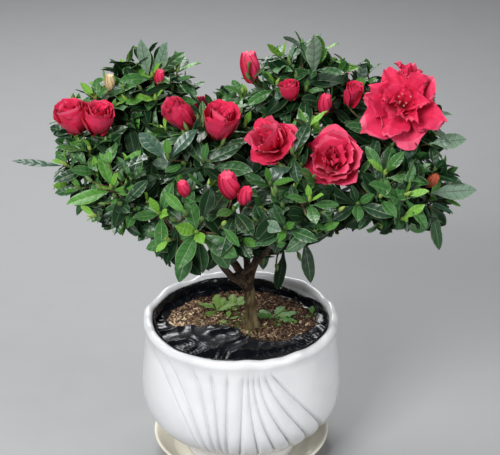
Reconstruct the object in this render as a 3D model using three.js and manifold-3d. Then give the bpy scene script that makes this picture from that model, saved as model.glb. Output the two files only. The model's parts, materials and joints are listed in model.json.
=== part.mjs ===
// Azalea shrub growing in a white glazed bowl pot on its saucer. Millimetres, +Z up.
// The origin is the middle of the saucer's flat underside, and the plant's front looks along -Y.
import * as THREE from "three";
import { mergeVertices } from "three/addons/utils/BufferGeometryUtils.js";
import Module from "manifold-3d";

const wasm = await Module();
wasm.setup();

// Clearance left between pieces that touch.
const GAP = 0.3;

// Saucer, pot and what fills the pot.
const SAUCER = { footRadius: 58, rimRadius: 79, height: 19, wall: 3.2, floor: 4 };
const POT = {
  footRadius: 51,
  footHeight: 12,
  bodyBottom: 16,
  bellyRadius: 88,
  bellyHeight: 70,
  fullness: 2.4,
  neckHeight: 122,
  neckRadius: 84.2,
  rimRadius: 85.4,
  height: 135,
  lip: 8,
  wall: 6.5,
  floor: 9,
  rimWave: 1.1,
};
// Drapery on the pot: creases as degrees round from the front, at the neck and at the foot.
// The left fan draws together as it falls, the right one sweeps outwards, each crease with a bow of its own.
// The set is repeated at the back.
const LEFT_CREASES = [
  [-62, -25],
  [-47, -20.5],
  [-28, -16],
  [-17, -12],
  [-7, -8],
];
const LEFT_BOW = 2.3;
const SWEPT_CREASES = [
  [2, -1, 1],
  [5, 16, 2],
  [8, 33, 2],
  [11, 48, 1.7],
  [14.5, 64, 1.4],
  [18, 78, 1.1],
];
const CREASE_DEPTH = 3.2;
const CREASE_SLOPE = 0.26;
// Heights at which the creases reach their full depth, start to fade towards the neck, and end.
const DRAPERY = { full: 34, fades: POT.neckHeight - 12, ends: POT.neckHeight + 3 };
// Where the wall's columns stand between two creases: on a narrow fold, and on the broad petal that ends
// each set.
const FOLD_COLUMNS = [0, 0.4];
const PETAL_COLUMNS = [0, 0.06, 0.16, 0.33, 0.5, 0.67, 0.84, 0.94];
const SOIL = { height: 118, flatRadius: 24, edgeHeight: 116.5 };
const LINER = { thickness: 1.5, top: 128, flapLift: 1.6 };
// Where the film ends over the soil: the angle from the front of the wall that it comes from, then X and Y.
const FLAP_EDGE = [
  [-180, 0, 73],
  [-150, -36, 62],
  [-120, -61, 36],
  [-101, -67, 15],
  [-90, -58, 4],
  [-72, -44, 7],
  [-52, -31, 6],
  [-32, -19, 8],
  [-14, -9, 6],
  [2, -1, -1],
  [14, 5, -9],
  [24, 10, -17],
  [40, 25, -21],
  [58, 43, -18],
  [76, 57, -3],
  [92, 67, 8],
  [112, 66, 28],
  [135, 50, 50],
  [158, 27, 68],
  [180, 0, 73],
];
// Heights of the rows of the pot's inner wall, which the soil and the film share.
const INNER_ROWS = [25, 60, 90, SOIL.edgeHeight, 119, 124, LINER.top];

// Trunk: from its flat cut at soil level to its fork, with the root flare at its foot.
const TRUNK = {
  foot: [9, 7],
  bend: [10, 3, 146],
  fork: [5, 0, 168],
  footRadius: 5.4,
  forkRadius: 4.5,
  flare: 3.6,
  flareShare: 0.3,
};

// Foliage masses: the middle of each and how far its leaves reach from there, along X, Y and Z.
// Each hangs on a bough of the same name, that leaves its parent limb at a share of its length.
const MASSES = [
  { name: "left_top", middle: [-78, 42, 318], reach: [50, 48, 54], parent: "trunk", share: 1 },
  { name: "right_top", middle: [54, 42, 326], reach: [54, 48, 54], parent: "trunk", share: 0.93 },
  { name: "front", middle: [-35, -86, 264], reach: [48, 42, 40], parent: "trunk", share: 0.86 },
  { name: "back", middle: [0, 108, 262], reach: [52, 46, 42], parent: "trunk", share: 0.8 },
  { name: "left_end", middle: [-122, -25, 284], reach: [36, 38, 32], parent: "left_top", share: 0.25 },
  { name: "right_end", middle: [145, -30, 266], reach: [35, 40, 38], parent: "right_top", share: 0.3 },
  { name: "left_front", middle: [-92, -68, 280], reach: [41, 40, 32], parent: "left_end", share: 0.25 },
  { name: "left_shoulder", middle: [-116, 14, 302], reach: [44, 44, 36], parent: "left_end", share: 0.55 },
  { name: "back_left", middle: [-86, 95, 284], reach: [52, 46, 42], parent: "left_top", share: 0.4 },
  { name: "centre", middle: [-32, -15, 298], reach: [44, 42, 44], parent: "left_top", share: 0.25 },
  { name: "centre_back", middle: [-5, 55, 284], reach: [44, 44, 38], parent: "back", share: 0.35 },
  { name: "right_front", middle: [113, -64, 276], reach: [45, 42, 34], parent: "right_end", share: 0.3 },
  { name: "right_shoulder", middle: [128, 5, 302], reach: [50, 48, 44], parent: "right_end", share: 0.5 },
  { name: "centre_right", middle: [52, -45, 298], reach: [46, 42, 42], parent: "right_top", share: 0.3 },
  { name: "front_right", middle: [43, -86, 273], reach: [46, 42, 34], parent: "front", share: 0.3 },
  { name: "back_right", middle: [92, 90, 296], reach: [54, 46, 44], parent: "right_top", share: 0.45 },
  { name: "low_right", middle: [43, -20, 228], reach: [32, 28, 36], parent: "right_top", share: 0.16 },
];
const MAIN_RADIUS = 3.5;
const SIDE_RADIUS = 2.7;
const TIP_RADIUS = 1.9;
// A bough stops at this share of its mass's reach, and turns up by this much on its way.
const BOUGH_SHARE = 0.62;
const BOUGH_LIFT = 0.45;
// The heart of the crown, which the sprays face away from.
const HEART = new THREE.Vector3(5, 5, 222);

// Leaves, and the sprays that they grow in: a spray's leaves lean off its axis, closed or open, in radians.
const LEAF = { length: 46, widthShare: 0.56, thickness: 1.5, widest: 0.6, droop: 0.13 };
const SPRAY = { count: 7, closed: 0.8, open: 1.45, bud: 2.3 };
// Twigs fork off the stem at these shares of its length, and off each other at forkShare. wayCost is the
// share of the way back along the twigs that counts when a twig picks where to fork off.
const TWIG = {
  stemRadius: 2.4,
  stemTaper: 0.85,
  tipRadius: 1.3,
  stemForks: [0.35, 0.65, 1],
  forkShare: 0.55,
  wayCost: 0.5,
};
// Seeded sprays: how many a mass gets besides those placed by hand, the places tried for them, how far out
// they sit as a share of the reach, their least distance from each other and from a wall or limb, and how
// far a place may lie towards the crown's heart.
const SEEDED = {
  count: 9,
  tried: 48,
  nearShare: 0.54,
  farShare: 0.66,
  spacing: 23,
  room: 2,
  mostInward: -0.2,
};
const GOLDEN_TURN = Math.PI * (3 - Math.sqrt(5));
// Room kept to the flat walls between the spaces of neighbouring masses, and to a limb.
const WALL_ROOM = 0.8;
const LIMB_ROOM = 0.8;
// A leaf that doesn't fit is tried at these shares of its size, and a flower at those of its own.
const LEAF_SHRINKS = [1, 0.88, 0.76, 0.64, 0.54];
const FLOWER_SHRINKS = [1, 0.92, 0.84, 0.76, 0.68, 0.6, 0.5];

// Sprays that stand out: where each sits, the way it faces and the length of its leaves.
const SPRAYS = [
  { at: [61, 40, 348], faces: [0.1, -0.1, 1], leaf: 33 },
  { at: [-73, 32, 343], faces: [-0.1, -0.1, 1], leaf: 33 },
  { at: [-119, 10, 332], faces: [-0.2, -0.2, 1], leaf: 28 },
  { at: [-141, -22, 286], faces: [-0.7, -0.3, 0.6], leaf: 24 },
  { at: [-101, -64, 284], faces: [-0.1, -0.6, 0.8], leaf: 36 },
  { at: [-57, -52, 304], faces: [0, -0.5, 0.85], leaf: 35 },
  { at: [-62, -86, 272], faces: [-0.2, -0.7, 0.6], leaf: 36 },
  { at: [-33, -100, 263], faces: [0, -0.85, 0.5], leaf: 42 },
  { at: [2, 40, 326], faces: [0, -0.1, 1], leaf: 28 },
  { at: [54, -95, 287], faces: [0, -0.5, 0.85], leaf: 26 },
  { at: [114, -64, 296], faces: [0.1, -0.5, 0.85], leaf: 34 },
  { at: [153, -43, 264], faces: [0.5, -0.5, 0.6], leaf: 30 },
  { at: [-128, -42, 274], faces: [-0.6, -0.5, 0.5], leaf: 27 },
  { at: [-4, -84, 274], faces: [-0.1, -0.6, 0.8], leaf: 40 },
  { at: [24, -66, 288], faces: [0, -0.6, 0.8], leaf: 38 },
  { at: [-30, -50, 300], faces: [0.1, -0.6, 0.8], leaf: 38 },
  { at: [92, -80, 278], faces: [0.1, -0.8, 0.5], leaf: 36 },
];
// Single leaves that make the crown's furthest tips: root, tip and width.
const LONE_LEAVES = [
  { root: [-142, -20, 284], tip: [-186, -20, 289], width: 8 },
  { root: [152, -42, 270], tip: [191, -40, 272], width: 15 },
  { root: [154, -46, 258], tip: [163, -46, 221], width: 14 },
  { root: [60, 40, 346], tip: [60, 40, 380], width: 15 },
  { root: [-76, 33, 342], tip: [-82, 36, 374], width: 10 },
  { root: [-70, 33, 342], tip: [-60, 34, 372], width: 13 },
  { root: [154, -20, 304], tip: [183, -20, 308], width: 14 },
  { root: [52, -26, 222], tip: [59, -30, 182], width: 14 },
  { root: [18, -22, 222], tip: [19, -27, 193], width: 12 },
  { root: [36, -14, 206], tip: [31, -11, 165], width: 13 },
  { root: [-38, -104, 258], tip: [-47, -112, 226], width: 14 },
  { root: [0, 140, 262], tip: [2, 154, 236], width: 14 },
];
// Blooms and buds: kind, place of the middle, the way each faces and its size across or along.
const FLOWERS = [
  { kind: "cup", at: [-134, -8, 318], faces: [-0.35, -0.45, 0.8], size: 31 },
  { kind: "cup", at: [-116, -11, 318], faces: [0.15, -0.55, 0.8], size: 28 },
  { kind: "cup", at: [-47, -6, 321], faces: [-0.45, -0.45, 0.75], size: 31 },
  { kind: "cup", at: [-16, -20, 318], faces: [0.15, -0.55, 0.85], size: 31 },
  { kind: "bloom", at: [25, -45, 316], faces: [-0.35, -0.55, 0.75], size: 46 },
  { kind: "bloom", at: [74, -58, 306], faces: [-0.1, -0.75, 0.65], size: 50 },
  { kind: "bloom", at: [130, -22, 342], faces: [-0.1, -0.65, 0.75], size: 74 },
  { kind: "bloom", at: [138, 8, 348], faces: [0.4, -0.1, 0.9], size: 42 },
  { kind: "bloom", at: [-84, 122, 306], faces: [-0.2, 0.65, 0.75], size: 50 },
  { kind: "bloom", at: [86, 122, 320], faces: [0.15, 0.65, 0.75], size: 56 },
  { kind: "cup", at: [8, 132, 264], faces: [0.1, 0.8, 0.6], size: 36 },
  { kind: "bud", at: [8, 42, 347], faces: [-0.1, 0, 1], size: 27 },
  { kind: "bud", at: [41, 12, 336], faces: [-0.2, -0.2, 1], size: 21 },
  { kind: "bud", at: [69, 0, 330], faces: [0.1, -0.3, 1], size: 19 },
  { kind: "cup", at: [92, 14, 331], faces: [0.2, -0.3, 1], size: 22 },
  { kind: "bud", at: [-8, -80, 293], faces: [-0.2, -0.4, 1], size: 26 },
  { kind: "bud", at: [4, -86, 287], faces: [0.3, -0.4, 1], size: 18 },
  { kind: "bud", at: [-43, -86, 293], faces: [-0.2, -0.4, 1], size: 16 },
  { kind: "bud", at: [-67, 22, 346], faces: [0.2, -0.3, 1], size: 14 },
  { kind: "bud", at: [154, -45, 282], faces: [0.4, -0.5, 0.8], size: 15 },
  { kind: "bud", at: [-108, 20, 342], faces: [0.1, -0.1, 1], size: 14 },
  { kind: "bud", at: [-36, 112, 300], faces: [-0.1, 0.4, 1], size: 22 },
  { kind: "bud", at: [128, 78, 322], faces: [0.3, 0.4, 1], size: 20 },
];

// Flower forms, as shares of a flower's size: where the twig meets its foot, [radius, height] rows from the
// back to the front, and the height of its peak.
const FORMS = {
  bloom: {
    foot: 0.3,
    rows: [
      [0.15, -0.23],
      [0.46, 0.0],
      [0.5, 0.08],
      [0.3, 0.17],
    ],
    peak: 0.12,
    sides: 10,
    lobes: 5,
    depth: 0.14,
  },
  cup: {
    foot: 0.46,
    rows: [
      [0.16, -0.4],
      [0.44, -0.05],
      [0.46, 0.26],
      [0.26, 0.42],
    ],
    peak: 0.34,
    sides: 8,
    lobes: 4,
    depth: 0.1,
  },
  bud: {
    foot: 0.48,
    rows: [
      [0.27, -0.12],
      [0.22, 0.25],
    ],
    peak: 0.5,
    sides: 6,
    lobes: 3,
    depth: 0,
  },
};

const GLAZE = { color: 0xf1f0ec, roughness: 0.16, metalness: 0 };
const CREAM_GLAZE = { color: 0xe9e3d3, roughness: 0.2, metalness: 0 };
const FILM = { color: 0x0d0d0f, roughness: 0.25, metalness: 0 };
const COIR = { color: 0x4a3324, roughness: 0.95, metalness: 0 };
const BARK = { color: 0x5b4a31, roughness: 0.85, metalness: 0 };
const LEAVES = { color: 0x2f5f33, roughness: 0.5, metalness: 0 };

const UP = new THREE.Vector3(0, 0, 1);
const vector = (list) => new THREE.Vector3(...list);
const mix = (from, to, share) => from + (to - from) * share;
const smooth = (from, to, value) => THREE.MathUtils.smoothstep(value, from, to);

// Park and Miller's generator, so that the same seed grows the same twigs.
function seeded(seed) {
  let state = seed;
  return () => {
    state = (state * 16807) % 2147483647;
    return state / 2147483647;
  };
}

// A geometry as a solid, with its shared corners merged and collapsed triangles left out.
function solidOf(geometry) {
  const bare = new THREE.BufferGeometry();
  bare.setAttribute("position", geometry.getAttribute("position"));
  bare.setIndex(geometry.index);
  const merged = mergeVertices(bare, 1e-4);
  const corners = merged.index.array;
  const kept = [];
  for (let i = 0; i < corners.length; i += 3) {
    const [a, b, c] = [corners[i], corners[i + 1], corners[i + 2]];
    if (a !== b && b !== c && a !== c) kept.push(a, b, c);
  }
  const vertProperties = merged.getAttribute("position").array;
  const triVerts = new Uint32Array(kept);
  return new wasm.Manifold(new wasm.Mesh({ numProp: 3, vertProperties, triVerts }));
}

// The largest body of a solid: loose scraps go, and a hollow that was sealed in is filled.
function mainBody(solid) {
  const bodies = solid.decompose();
  return bodies.reduce((best, body) => (body.volume() > best.volume() ? body : best));
}

function meshOf(name, solid, finish) {
  const made = solid.getMesh();
  const geometry = new THREE.BufferGeometry();
  geometry.setAttribute("position", new THREE.BufferAttribute(made.vertProperties, 3));
  geometry.setIndex(new THREE.BufferAttribute(made.triVerts, 1));
  geometry.computeVertexNormals();
  const mesh = new THREE.Mesh(geometry, new THREE.MeshStandardMaterial(finish));
  mesh.name = name;
  return mesh;
}

// A profile of [radius, height] points turned round +Z. shape may place each point anew, by its radius,
// height, angle from the front and row in the profile.
function turned(profile, segments, shape) {
  const points = profile.map(([radius, height]) => new THREE.Vector2(radius, height));
  const geometry = new THREE.LatheGeometry(points, segments).rotateX(Math.PI / 2);
  const position = geometry.getAttribute("position");
  for (let i = 0; shape && i < position.count; i++) {
    const [x, y, z] = [position.getX(i), position.getY(i), position.getZ(i)];
    const radius = Math.hypot(x, y);
    if (radius < 1e-6) continue;
    const turn = Math.atan2(x, -y);
    const { angle = turn, ...placed } = shape(radius, z, turn, i % profile.length);
    position.setXYZ(i, placed.radius * Math.sin(angle), -placed.radius * Math.cos(angle), placed.height);
  }
  return solidOf(geometry);
}

function saucer() {
  const { footRadius, rimRadius, height, wall, floor } = SAUCER;
  const profile = [
    [0, 0],
    [footRadius, 0],
    [footRadius + 5, 2],
    [rimRadius - 4, height - 4.5],
    [rimRadius, height - 1.2],
    [rimRadius - 0.6, height],
    [rimRadius - wall, height - 0.8],
    [rimRadius - wall - 4, height - 5],
    [footRadius + 3, floor + 1],
    [footRadius - 3, floor],
    [0, floor],
  ];
  return turned(profile, 40);
}

// How far out the pot's wall would stand without its drapery.
function potRadius(z) {
  if (z < POT.bellyHeight) {
    const fall = (POT.bellyHeight - z) / (POT.bellyHeight - POT.bodyBottom);
    const round = Math.pow(1 - Math.pow(Math.min(fall, 1), POT.fullness), 1 / POT.fullness);
    return Math.max(POT.footRadius, POT.bellyRadius * round);
  }
  return mix(POT.bellyRadius, POT.neckRadius, smooth(POT.bellyHeight, POT.neckHeight, z));
}

// Every column of the pot's wall: the crease that it follows and how far it stands on the way to the next.
const COLUMNS = [0, 1].flatMap((half) => {
  const folds = LEFT_CREASES.length + SWEPT_CREASES.length;
  return Array.from({ length: folds }, (_, crease) => {
    const isPetal = crease === folds - 1;
    return (isPetal ? PETAL_COLUMNS : FOLD_COLUMNS).map((place) => ({ half, crease, place }));
  }).flat();
});

// A column's angle from the front and how deep it sits below the smooth wall: nothing on the crown of a fold,
// full in a crease.
function drapery(column, z) {
  const climb = THREE.MathUtils.clamp((z - POT.bodyBottom) / (POT.neckHeight - POT.bodyBottom), 0, 1);
  const creases = [
    ...LEFT_CREASES.map(([top, bottom]) => mix(bottom, top, climb ** LEFT_BOW)),
    ...SWEPT_CREASES.map(([top, bottom, bow]) => mix(bottom, top, 1 - (1 - climb) ** bow)),
  ];
  creases.push(creases[0] + 180);
  const [from, to] = [creases[column.crease], creases[column.crease + 1]];
  const arc = THREE.MathUtils.degToRad(to - from) * POT.bellyRadius;
  const crown = 1 - Math.abs(2 * column.place - 1) ** (2 + arc / 20);
  const fade = smooth(POT.bodyBottom, DRAPERY.full, z) * (1 - smooth(DRAPERY.fades, DRAPERY.ends, z));
  return {
    angle: THREE.MathUtils.degToRad(mix(from, to, column.place) + 180 * column.half),
    depth: fade * (CREASE_DEPTH - Math.min(CREASE_DEPTH, CREASE_SLOPE * arc) * crown),
  };
}

function columnAt(turn) {
  const step = (2 * Math.PI) / COLUMNS.length;
  return COLUMNS[(Math.round(turn / step) + COLUMNS.length) % COLUMNS.length];
}

// Where a column stands from the neck up, and in everything inside the pot.
function neckAngle(turn) {
  return drapery(columnAt(turn), POT.neckHeight).angle;
}

function rimWave(angle) {
  return POT.rimWave * (0.6 * Math.sin(3 * angle + 0.6) + 0.4 * Math.sin(5 * angle + 2));
}

function innerRadius(z) {
  const bowl = potRadius(Math.max(z, POT.bodyBottom + POT.floor)) - POT.wall;
  return z > POT.neckHeight ? mix(bowl, POT.rimRadius - POT.lip, smooth(POT.neckHeight, 130, z)) : bowl;
}

function pot() {
  const floorHeight = SAUCER.floor + GAP;
  const outside = [
    [0, floorHeight],
    [POT.footRadius - 2, floorHeight],
    [POT.footRadius, floorHeight + 2],
    [POT.footRadius, POT.footHeight],
  ];
  for (const z of [17, 22, 30, 40, 52, 66, 80, 94, 107, 117, 123]) {
    outside.push([potRadius(z), z]);
  }
  const half = POT.lip / 2;
  const middle = POT.rimRadius - half;
  const lip = [-10, 40, 90, 140, 190].map((degrees) => {
    const angle = THREE.MathUtils.degToRad(degrees);
    return [middle + half * Math.cos(angle), POT.height - half - 1 + (half + 1) * Math.sin(angle)];
  });
  const inside = INNER_ROWS.toReversed().map((z) => [innerRadius(z), z]);
  const base = SAUCER.floor + GAP + POT.floor;
  inside.push([innerRadius(25) - 3, base + 4], [innerRadius(25) - 10, base], [0, base]);
  return turned([...outside, ...lip, ...inside], COLUMNS.length, (radius, z, turn, row) => {
    const isOutside = row < outside.length;
    const { angle, depth } = isOutside ? drapery(columnAt(turn), z) : { angle: neckAngle(turn), depth: 0 };
    return { angle, radius: radius - depth, height: z + rimWave(angle) * smooth(118, POT.height, z) };
  });
}

function pottingMix() {
  const base = SAUCER.floor + 2 * GAP + POT.floor;
  const profile = [
    [0, base],
    [innerRadius(25) - 10 - GAP, base],
    [innerRadius(25) - 3 - GAP, base + 4],
  ];
  for (const z of INNER_ROWS.slice(0, 4)) profile.push([innerRadius(z) - GAP, z]);
  profile.push([60, SOIL.height - 0.5], [SOIL.flatRadius, SOIL.height], [0, SOIL.height]);
  return turned(profile, COLUMNS.length, (radius, height, turn) => {
    return { angle: neckAngle(turn), radius, height };
  });
}

// Where the film's edge lies for a direction from the front: deep over the soil at the front left.
function flapEdge(angle) {
  const degrees = ((THREE.MathUtils.radToDeg(angle) + 540) % 360) - 180;
  const next = Math.max(1, FLAP_EDGE.findIndex(([high]) => degrees <= high));
  const [[low, x0, y0], [high, x1, y1]] = [FLAP_EDGE[next - 1], FLAP_EDGE[next]];
  const share = (degrees - low) / (high - low);
  const [x, y] = [mix(x0, x1, share), mix(y0, y1, share)];
  return { angle: Math.atan2(x, -y), radius: Math.hypot(x, y) };
}

function potLiner() {
  const low = SOIL.height + GAP;
  const high = low + LINER.thickness;
  // Each corner of the section is marked by a radius of its own, which the shape then sets for its angle.
  const section = [
    [1, low],
    [3, low],
    [3, 124],
    [3, LINER.top],
    [2, LINER.top],
    [2, 124],
    [2, high],
    [1, high],
    [1, low],
  ];
  return turned(section, COLUMNS.length, (mark, z, turn) => {
    const angle = neckAngle(turn);
    const height = z + rimWave(angle) * smooth(118, POT.height, z);
    if (mark > 2.5) return { angle, radius: innerRadius(z) - GAP, height };
    if (mark > 1.5) return { angle, radius: innerRadius(z) - GAP - LINER.thickness, height };
    const lift = LINER.flapLift * (1 + Math.sin(9 * angle)) * 0.5;
    return { ...flapEdge(angle), height: z + lift };
  });
}

// A limb on one bend: a point, a radius and a direction at each share of its length.
function makeLimb(name, start, bend, end, startRadius, endRadius, flare = 0, flareShare = 1) {
  const curve = new THREE.QuadraticBezierCurve3(start, bend, end);
  const binormal = new THREE.Vector3().crossVectors(bend.clone().sub(start), end.clone().sub(start));
  if (binormal.length() < 1e-3) binormal.set(1, 0, 0);
  const radiusAt = (share) =>
    mix(startRadius, endRadius, share) + flare * Math.max(0, 1 - share / flareShare) ** 2;
  return { name, curve, side: binormal.normalize(), radiusAt };
}

// The limb's own solid, or a fatter one that is cut from its neighbours to keep them clear.
function limbSolid(limb, grow = 0, flatFoot = null, sides = 6, steps = 4) {
  const geometry = new THREE.CylinderGeometry(1, 1, 1, sides, steps);
  const position = geometry.getAttribute("position");
  for (let i = 0; i < position.count; i++) {
    const share = position.getY(i) + 0.5;
    const along = limb.curve.getTangent(share);
    const other = new THREE.Vector3().crossVectors(limb.side, along);
    const radius = limb.radiusAt(share) + grow;
    const point = limb.curve.getPoint(share);
    point.addScaledVector(limb.side, position.getX(i) * radius);
    point.addScaledVector(other, position.getZ(i) * radius);
    if (share === 0) point.addScaledVector(along, -grow);
    if (share === 1) point.addScaledVector(along, grow);
    if (share === 0 && flatFoot !== null) point.z = flatFoot;
    position.setXYZ(i, point.x, point.y, point.z);
  }
  return solidOf(geometry);
}

function trunkLimb() {
  const foot = vector([...TRUNK.foot, SOIL.height + GAP]);
  const { bend, fork, footRadius, forkRadius, flare, flareShare } = TRUNK;
  return makeLimb("trunk", foot, vector(bend), vector(fork), footRadius, forkRadius, flare, flareShare);
}

// How far inside its mass's space a point lies, measured to the nearest flat wall between two masses.
function wallRoom(mass, point) {
  const own = point.distanceToSquared(mass.centre);
  let room = Infinity;
  for (const other of MASSES) {
    if (other === mass) continue;
    const between = mass.centre.distanceTo(other.centre);
    const wall = (point.distanceToSquared(other.centre) - own) / (2 * between);
    room = Math.min(room, wall);
  }
  return room;
}

// A point's distance from its mass's middle, as a share of the reach.
function reachShare(mass, point) {
  const away = point.clone().sub(mass.centre);
  return Math.hypot(away.x / mass.reach[0], away.y / mass.reach[1], away.z / mass.reach[2]);
}

function limbRoom(limbs, point) {
  let room = Infinity;
  for (const limb of limbs) {
    for (let step = 0; step <= 24; step++) {
      const share = step / 24;
      room = Math.min(room, point.distanceTo(limb.curve.getPoint(share)) - limb.radiusAt(share));
    }
  }
  return room;
}

// The bough of a mass: from its parent limb to where it enters the mass's space.
function boughLimb(mass, parent) {
  const start = parent.curve.getPoint(mass.share);
  const end = mass.centre.clone();
  for (let share = 0; share < BOUGH_SHARE; share += 0.02) {
    const next = mass.centre.clone().lerp(start, share);
    if (wallRoom(mass, next) < 4 || reachShare(mass, next) > BOUGH_SHARE) break;
    end.copy(next);
  }
  const length = end.distanceTo(start);
  const chord = end.clone().sub(start).normalize();
  mass.along = chord.clone().addScaledVector(UP, BOUGH_LIFT).normalize();
  const bend = end.clone().addScaledVector(mass.along, -0.5 * length);
  const isMain = mass.parent === "trunk";
  return makeLimb("bough_" + mass.name, start, bend, end, isMain ? MAIN_RADIUS : SIDE_RADIUS, TIP_RADIUS);
}

// A straight three-sided twig.
function twigSolid(from, to, fromRadius, toRadius) {
  const length = from.distanceTo(to);
  const geometry = new THREE.CylinderGeometry(toRadius, fromRadius, length, 3);
  geometry.translate(0, length / 2, 0);
  const turn = new THREE.Quaternion().setFromUnitVectors(vector([0, 1, 0]), to.clone().sub(from).normalize());
  geometry.applyQuaternion(turn);
  geometry.translate(from.x, from.y, from.z);
  return solidOf(geometry);
}

// The outline of a leaf: its right side, its tip and its left side. The tip hangs below the blade by its
// droop.
function leafOutline({ root, along, face, length, width }) {
  const side = new THREE.Vector3().crossVectors(along, face).normalize();
  const middle = root.clone().addScaledVector(along, length * LEAF.widest);
  return {
    right: middle.clone().addScaledVector(side, width / 2),
    tip: root.clone().addScaledVector(along, length).addScaledVector(face, -LEAF.droop * length),
    left: middle.clone().addScaledVector(side, -width / 2),
  };
}

// What grows on a twig, as one solid: the three-sided twig itself, rings of points round an axis, and a peak.
function sproutSolid(twig, axis, rings, peak) {
  const [first, second] = acrossAxis(axis);
  const turnOf = (point) => {
    const away = point.clone().sub(twig.to);
    return (Math.atan2(away.dot(second), away.dot(first)) + 2 * Math.PI) % (2 * Math.PI);
  };
  const bend = new THREE.Quaternion().setFromUnitVectors(axis, twig.to.clone().sub(twig.from).normalize());
  const corners = (middle, radius, rotation) =>
    [1, 3, 5].map((sixth) => {
      const out = first.clone().multiplyScalar(Math.cos((sixth * Math.PI) / 3));
      out.addScaledVector(second, Math.sin((sixth * Math.PI) / 3));
      return middle.clone().addScaledVector(out.applyQuaternion(rotation), radius);
    });
  const turns = rings[0].map(turnOf);
  const opening = turns.indexOf(Math.min(...turns));
  const ordered = rings.map((ring) => [...ring.slice(opening), ...ring.slice(0, opening)]);
  const count = rings[0].length;
  const straight = new THREE.Quaternion();
  const points = [...corners(twig.from, twig.fromRadius, bend), ...corners(twig.to, twig.toRadius, straight)];
  points.push(...ordered.flat(), peak);
  const faces = [0, 2, 1];
  for (let k = 0; k < 3; k++) {
    const next = (k + 1) % 3;
    faces.push(k, next, 3 + next, k, 3 + next, 3 + k);
  }
  const sectors = ordered[0].map((point) => Math.min(2, Math.floor((3 * turnOf(point)) / (2 * Math.PI))));
  for (let i = 1; i < count; i++) sectors[i] = Math.max(sectors[i], sectors[i - 1]);
  const lastRing = 6 + (ordered.length - 1) * count;
  for (let i = 0; i < count; i++) {
    const next = (i + 1) % count;
    const sector = sectors[i];
    const nextSector = i + 1 < count ? sectors[next] : sectors[0] + 3;
    faces.push(6 + next, 6 + i, 3 + sector);
    for (let k = sector; k < nextSector; k++) faces.push(6 + next, 3 + (k % 3), 3 + ((k + 1) % 3));
    for (let ring = 6; ring < lastRing; ring += count) {
      faces.push(ring + i, ring + next, ring + count + next, ring + i, ring + count + next, ring + count + i);
    }
    faces.push(lastRing + i, lastRing + next, points.length - 1);
  }
  const geometry = new THREE.BufferGeometry().setFromPoints(points);
  geometry.setIndex(faces);
  return solidOf(geometry);
}

// Two directions at right angles to an axis and to each other.
function acrossAxis(axis) {
  const helper = Math.abs(axis.z) < 0.9 ? UP : vector([1, 0, 0]);
  const first = new THREE.Vector3().crossVectors(axis, helper).normalize();
  return [first, new THREE.Vector3().crossVectors(axis, first)];
}

// A direction that leans away from an axis by one angle and is turned round it by another.
function leaning(axis, lean, turn) {
  const [first, second] = acrossAxis(axis);
  const out = first.multiplyScalar(Math.cos(turn)).addScaledVector(second, Math.sin(turn));
  return axis.clone().multiplyScalar(Math.cos(lean)).addScaledVector(out, Math.sin(lean)).normalize();
}

function upperFace(axis, along) {
  return axis.clone().addScaledVector(along, -axis.dot(along)).normalize();
}

// The leaves of a spray, evenly round its axis: every other one stands up, the rest lie open.
function sprayLeaves(tip, random) {
  const start = random() * 2 * Math.PI;
  const leaves = [];
  for (let i = 0; i < SPRAY.count; i++) {
    const isOpen = i % 2 === 1 || i === SPRAY.count - 1;
    const lean = (isOpen ? SPRAY.open : SPRAY.closed) + 0.2 * (random() - 0.5);
    const turn = start + ((i + 0.2 * (random() - 0.5)) * 2 * Math.PI) / SPRAY.count;
    const along = leaning(tip.faces, lean, turn);
    const length = tip.size * (isOpen ? 1 : 0.88) * (0.94 + 0.12 * random());
    const width = tip.size * LEAF.widthShare * (isOpen ? 1 : 0.85);
    leaves.push({ root: tip.at, along, face: upperFace(tip.faces, along), length, width });
  }
  return leaves;
}

// Whether a point may hold part of a mass: inside its walls, inside its reach and off the limbs.
function isFree(mass, limbs, point, keepsReach, room = 0) {
  if (wallRoom(mass, point) < WALL_ROOM + room) return false;
  if (keepsReach && reachShare(mass, point) > 1) return false;
  return limbRoom(limbs, point) > LIMB_ROOM + room;
}

function leafFits(mass, limbs, { root }, { right, tip, left }, keepsReach) {
  const spots = [right, tip, left, tip.clone().lerp(right, 0.5), tip.clone().lerp(left, 0.5)];
  for (const corner of [right, tip, left]) {
    for (const share of [0.25, 0.5, 0.75]) spots.push(root.clone().lerp(corner, share));
  }
  return spots.every((spot) => isFree(mass, limbs, spot, keepsReach));
}

// A leaf's outline at the largest size that fits and cuts through nothing that has grown already.
function fittedOutline(mass, limbs, grown, leaf, keepsReach) {
  for (const shrink of LEAF_SHRINKS) {
    const outline = leafOutline({ ...leaf, length: leaf.length * shrink, width: leaf.width * shrink });
    if (!leafFits(mass, limbs, leaf, outline, keepsReach)) continue;
    if (grown.intersect(leafSolid({ ...leaf, outline })).isEmpty()) return outline;
  }
  return null;
}

// One leaf as a solid: a fan from a point on its midrib.
function leafSolid({ root, face, outline: { right, tip, left } }) {
  const middle = root.clone().lerp(right.clone().lerp(left, 0.5), 0.7);
  const lift = LEAF.thickness / 2;
  const ring = [root, right, tip, left];
  const faces = [0, 1, 2, 3].flatMap((i) => [i, (i + 1) % 4, 4, (i + 1) % 4, i, 5]);
  const peaks = [lift, -lift].map((height) => middle.clone().addScaledVector(face, height));
  const geometry = new THREE.BufferGeometry().setFromPoints([...ring, ...peaks]);
  geometry.setIndex(faces);
  return solidOf(geometry);
}

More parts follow.
